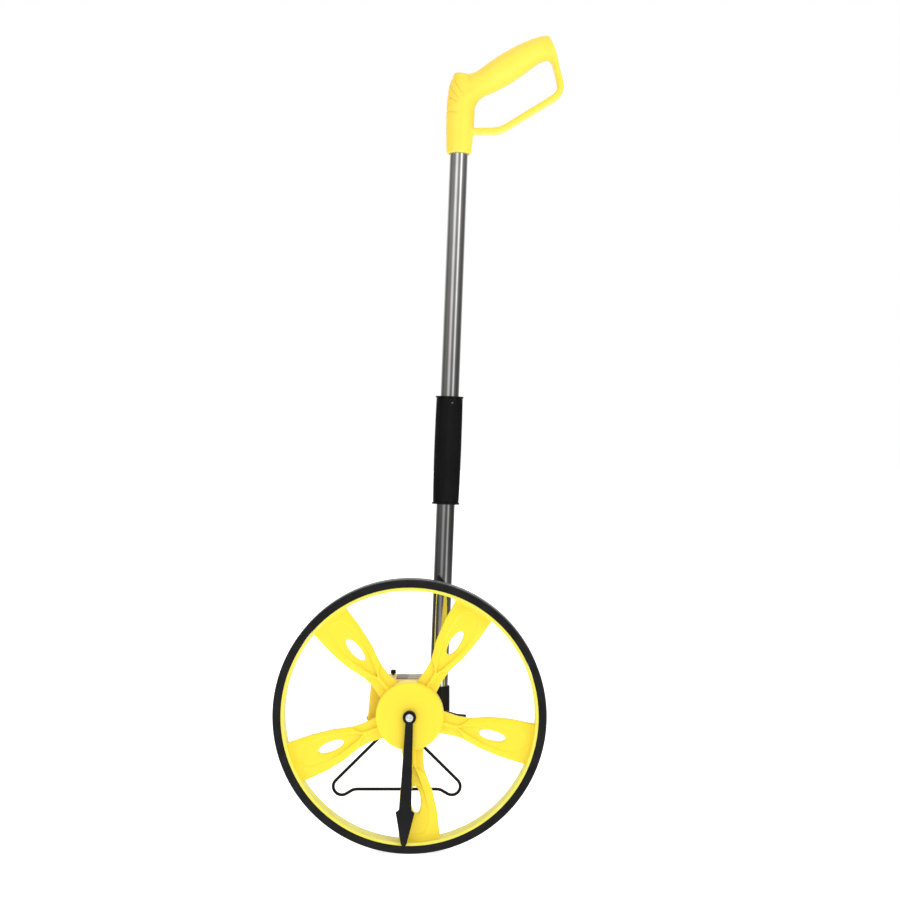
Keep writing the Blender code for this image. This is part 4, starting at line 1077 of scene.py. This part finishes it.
def grip():
    """The handle: rough solids remeshed into one skin, which settles on to the exact shape."""
    height = GRIP_FOOT + 0.2
    bore = TUBE_RADIUS + GAP
    socket = [(0, 758)] + [(r, h) for h, r in SOCKET[::-1] if h < 757 and h > height]
    socket += [(13.3, height), (bore, height), (bore, TUBE_TOP - 12), (0, TUBE_TOP - 12)]
    rough = [turned("rough_socket", socket, POLE, "Z", 64)]
    for x, z, radius in BARREL:
        ball = [(radius * math.sin(a), radius * math.cos(a)) for a in np.linspace(0, math.pi, 17)]
        ball[0], ball[-1] = (0, radius), (0, -radius)
        rough.append(turned("ball", ball, Matrix.Translation((x, POLE_FOOT.y, z)), "Z", 32))
    for start, end in zip(BARREL, BARREL[1:]):
        span = Vector((end[0] - start[0], 0, end[1] - start[1]))
        matrix = looking(span, (start[0], POLE_FOOT.y, start[1]))
        rough.append(turned("link", [(0, span.length), (end[2], span.length), (start[2], 0), (0, 0)],
                            matrix, "Z", 32))
    half, depth = GUARD_HALF
    for start, end in zip(GUARD, GUARD[1:]):
        span = Vector((end[0] - start[0], 0, end[1] - start[1]))
        overlap = half * 0.6
        bar = block("bar", (-half, -depth, -overlap), (half, depth, span.length + overlap))
        rough.append(in_mm(bar, Matrix.Translation((start[0], POLE_FOOT.y, start[1]))
                           @ Matrix.Rotation(math.atan2(span.x, span.z), 4, "Y")))
    mould = joined("grip_rough", *rough)
    remesh = mould.modifiers.new("remesh", "REMESH")
    remesh.mode = "VOXEL"
    remesh.voxel_size = 0.8 * MM
    mould = baked(mould)
    mould.name = "grip_moulding"
    mesh = mould.data
    points = np.zeros(len(mesh.vertices) * 3)
    mesh.vertices.foreach_get("co", points)
    points = settle(points.reshape(-1, 3) / MM, 6)
    edges = np.zeros(len(mesh.edges) * 2, dtype=np.int64)
    mesh.edges.foreach_get("vertices", edges)
    edges = edges.reshape(-1, 2)
    count = np.bincount(edges.ravel(), minlength=len(points))[:, None]
    for _ in range(6):
        total = np.zeros_like(points)
        np.add.at(total, edges[:, 0], points[edges[:, 1]])
        np.add.at(total, edges[:, 1], points[edges[:, 0]])
        points = settle(points * 0.5 + total / np.maximum(count, 1) * 0.5, 1)
    points = settle(points, 2)
    points = grip_details(points)
    mesh.vertices.foreach_set("co", (points * MM).ravel())
    mesh.update()
    place(mould, "upper_pole", GRIP_YELLOW, "yellow_grip", "grip", angle=60)
    middle = (low("grip_screw") + high("grip_screw")) / 2
    seat = (middle.x, high("grip_screw").y - 1.4, middle.z)
    screw("grip_screw_head", "grip_screw", (0, 1, 0), seat, 2.8, 1.4, 1.6, "upper_pole")


def grip_details(points):
    """Curved grooves on the socket, shallow finger waves and a moulding line along the middle."""
    local = points @ POLE_INVERSE[:3, :3].T + POLE_INVERSE[:3, 3]
    angle = np.degrees(np.arctan2(local[:, 1], local[:, 0])) % 360
    slope = grip_slope(points)[1]
    normal = slope / np.maximum(np.linalg.norm(slope, axis=1), 1e-6)[:, None]
    outside = np.hypot(local[:, 0], local[:, 1]) > TUBE_RADIUS + 1
    sink = np.zeros(len(points))
    for side in (1, -1):
        from_left = np.where(side > 0, angle - 180, 180 - angle)
        for start, fall, last in GROOVES:
            line = start - fall * from_left
            near = np.exp(-((local[:, 2] - line) / 1.25) ** 2)
            fade = smooth((from_left + 8) / 20) * smooth((last - from_left) / 28)
            sink += 1.3 * near * fade
    _, level = near_chain(points[:, [0, 2]], BARREL)
    onto_barrel = smooth((level - 5.2) / 0.8) * smooth((12.4 - level) / 0.6)
    sink += 0.25 * onto_barrel * np.clip(np.cos(level * math.tau), 0, 1) ** 8
    seam = np.exp(-((points[:, 1] - POLE_FOOT.y) / 0.45) ** 2)
    sink += 0.1 * seam
    return points - normal * (sink * outside)[:, None]


# --- lever and kickstand --------------------------------------------------------------------

def lever():
    """A flat arm that bends away from the eye on its pin."""
    pivot = (LEVER_POINT.x, LEVER_POINT.z)
    eye = arc(pivot, 3, 35, 275, 24)
    lower = [(20, 7.2), (43, -3.2), (53, -5.4), (65.2, -7.3)]
    upper = [(66.2, -3.9), (54.5, -2.8), (44.6, 0.3), (21.4, 10.4)]
    outline = eye + soften(lower, 2.5, False) + soften(upper, 2.5, False)
    hole = arc(pivot, 1.3, 0, 350, 35)
    front, back = low("reset_lever").y, high("reset_lever").y
    place(plate("lever_arm", [outline, hole], front, back, 0.45), "lever", BLACK,
          "black_plastic", "reset_lever")


def kickstand():
    """A bent wire in two clips. Its outline is measured from its pivot, on the right half."""
    depth = STAND_POINT.y
    wire = 1.9
    foot = (66, -94.9 - STAND_POINT.z)
    bar = -98.2 - STAND_POINT.z
    half = [(7, 0), (13.2, 0), (15.7, -0.1), (17.7, -0.6), (19.4, -1.4), (20.7, -2.4)]
    half += arc(foot, 10.2, 45, -117, 32)
    half += [(56.5, bar - 3.0), (54.5, bar - 1.7), (52.8, bar - 0.9), (51, bar - 0.35),
             (49, bar - 0.08), (46, bar)]
    outline = half + [(-x, z) for x, z in reversed(half)]
    points = [(STAND_POINT.x + x, depth, STAND_POINT.z + z) for x, z in outline]
    place(tube_along("kickstand_wire", points, wire, 24), "stand", WIRE_BLACK, "black_wire",
          "kickstand")
    for number in (1, 2):
        node = f"kickstand_clip_{number}"
        lowest, highest = low(node), high(node)
        clip = block(f"clip_{number}", lowest, highest, 1.2, 4)
        hole = ring(f"clip_bore_{number}", wire + GAP, 0, lowest.x - 2, highest.x + 2,
                    Matrix.Translation((0, depth, STAND_POINT.z)), "X", 48, 0)
        notch = block(f"clip_notch_{number}", (lowest.x + 2.4, lowest.y - 1, lowest.z - 1),
                      (highest.x - 2.4, lowest.y + 0.8, highest.z + 1))
        place(baked(combine(clip, "DIFFERENCE", hole, notch)), "frame", BLACK, "black_plastic", node)


# --- studio ---------------------------------------------------------------------------------

def studio():
    """Floor, lamps, the world that the bright parts mirror, and the camera."""
    floor_level = low("tyre").z * MM
    mesh = bpy.data.meshes.new("floor")
    size = 30.0
    corners = ((-size, -size), (size, -size), (size, size), (-size, size))
    mesh.from_pydata([(x, y, floor_level) for x, y in corners], [], [(0, 1, 2, 3)])
    floor = linked("floor", mesh)
    pale = bpy.data.materials.new("pale_floor")
    pale.use_nodes = True
    shader = pale.node_tree.nodes["Principled BSDF"]
    for socket, value in (("Base Color", (0.93, 0.93, 0.93, 1)), ("Roughness", 0.9),
                          ("Specular IOR Level", 0.1), ("Emission Color", (1, 1, 1, 1)),
                          ("Emission Strength", 0.8)):
        shader.inputs[socket].default_value = value
    mesh.materials.append(pale)
    floor.visible_glossy = False

    for name, spot, aim, size, watts in (
            ("key", (1.7, -1.8, 1.9), (0.05, 0, 0.25), 1.8, 24),
            ("fill", (-1.4, -2.2, 0.9), (0.05, 0, 0.25), 1.8, 7),
            ("top", (0.1, -0.3, 2.9), (0.05, 0.02, 0.3), 2.2, 15),
            ("back", (0.3, 2.4, 1.5), (0.05, 0.05, 0.3), 1.8, 10)):
        light = bpy.data.lights.new(name, "AREA")
        light.shape = "SQUARE"
        light.size = size
        light.energy = watts
        lamp = linked(name, light)
        lamp.location = spot
        lamp.rotation_euler = (Vector(aim) - Vector(spot)).to_track_quat("-Z", "Y").to_euler()
        lamp.visible_glossy = False

    world = bpy.data.worlds.new("studio")
    bpy.context.scene.world = world
    world.use_nodes = True
    nodes, links = world.node_tree.nodes, world.node_tree.links
    nodes.clear()

    def node(kind, **values):
        made = nodes.new(kind)
        for key, value in values.items():
            setattr(made, key, value)
        return made

    def math_node(operation, one, two):
        made = node("ShaderNodeMath", operation=operation)
        for socket, value in zip(made.inputs, (one, two)):
            if isinstance(value, (int, float)):
                socket.default_value = value
            else:
                links.new(value, socket)
        return made.outputs[0]

    def ramp(source, stops):
        return colour_ramp(nodes, links, source, [(spot, (level,) * 3) for spot, level in stops])

    direction = node("ShaderNodeSeparateXYZ")
    links.new(node("ShaderNodeTexCoord").outputs["Generated"], direction.inputs[0])
    backward = math_node("MULTIPLY", direction.outputs["Y"], -1.0)
    azimuth = math_node("ARCTAN2", direction.outputs["X"], backward)
    turn = math_node("ADD", math_node("DIVIDE", azimuth, math.tau), 0.5)
    # the studio's panels as the bright pole mirrors them: degrees from behind the camera, level
    panels = [(-180, 1.0), (-156, 1.0), (-140, 0.85), (-126, 0.45), (-110, 0.2), (-97, 0.15),
              (-71, 0.26), (-50, 0.24), (-38, 0.42), (-29, 0.86), (-19, 1.15), (-9, 0.9),
              (0, 0.42), (9, 0.28), (20, 0.4), (29, 1.0), (38, 1.9), (48, 0.9), (58, 0.3),
              (71, 0.22), (97, 0.14), (110, 0.16), (124, 0.3), (138, 0.65), (154, 1.0), (180, 1.0)]
    around = ramp(turn, [((angle + 180) / 360, level) for angle, level in panels])
    lift = math_node("ADD", math_node("MULTIPLY", direction.outputs["Z"], 0.5), 0.5)
    upward = ramp(lift, [(0.0, 0.6), (0.39, 0.8), (0.42, 0.65), (0.447, 0.25), (0.472, 0.28),
                         (0.5, 0.42), (0.534, 0.6), (0.555, 0.72), (0.6, 1.0), (0.75, 1.1),
                         (1.0, 1.3)])
    backdrop = ramp(turn, [(0.0, 1.0), (0.05, 1.0), (0.09, 0.0), (0.91, 0.0), (0.95, 1.0), (1.0, 1.0)])
    level = math_node("MAXIMUM", math_node("MULTIPLY", around, upward), backdrop)
    path = node("ShaderNodeLightPath")
    for ray, steady in (("Is Camera Ray", 1.0), ("Is Diffuse Ray", 0.54)):
        mix = node("ShaderNodeMix", data_type="FLOAT")
        links.new(path.outputs[ray], mix.inputs["Factor"])
        links.new(level, mix.inputs[2])
        mix.inputs[3].default_value = steady
        level = mix.outputs[0]
    shade = node("ShaderNodeBackground")
    shade.inputs["Color"].default_value = (1, 1, 1, 1)
    links.new(level, shade.inputs["Strength"])
    out = node("ShaderNodeOutputWorld")
    links.new(shade.outputs[0], out.inputs["Surface"])

    camera = bpy.data.cameras.new("camera")
    camera.lens = LENS
    camera.sensor_width = 36
    view = linked("camera", camera)
    view.location = CAMERA
    view.rotation_euler = (math.radians(90), 0, 0)
    bpy.context.scene.camera = view
    bpy.context.scene.view_settings.view_transform = "Standard"


tyre()
rim()
web()
hub_cover()
bearings()
axle()
case()
knob_and_side_screw()
counter()
bracket()
pole()
grip()
lever()
kickstand()
studio()
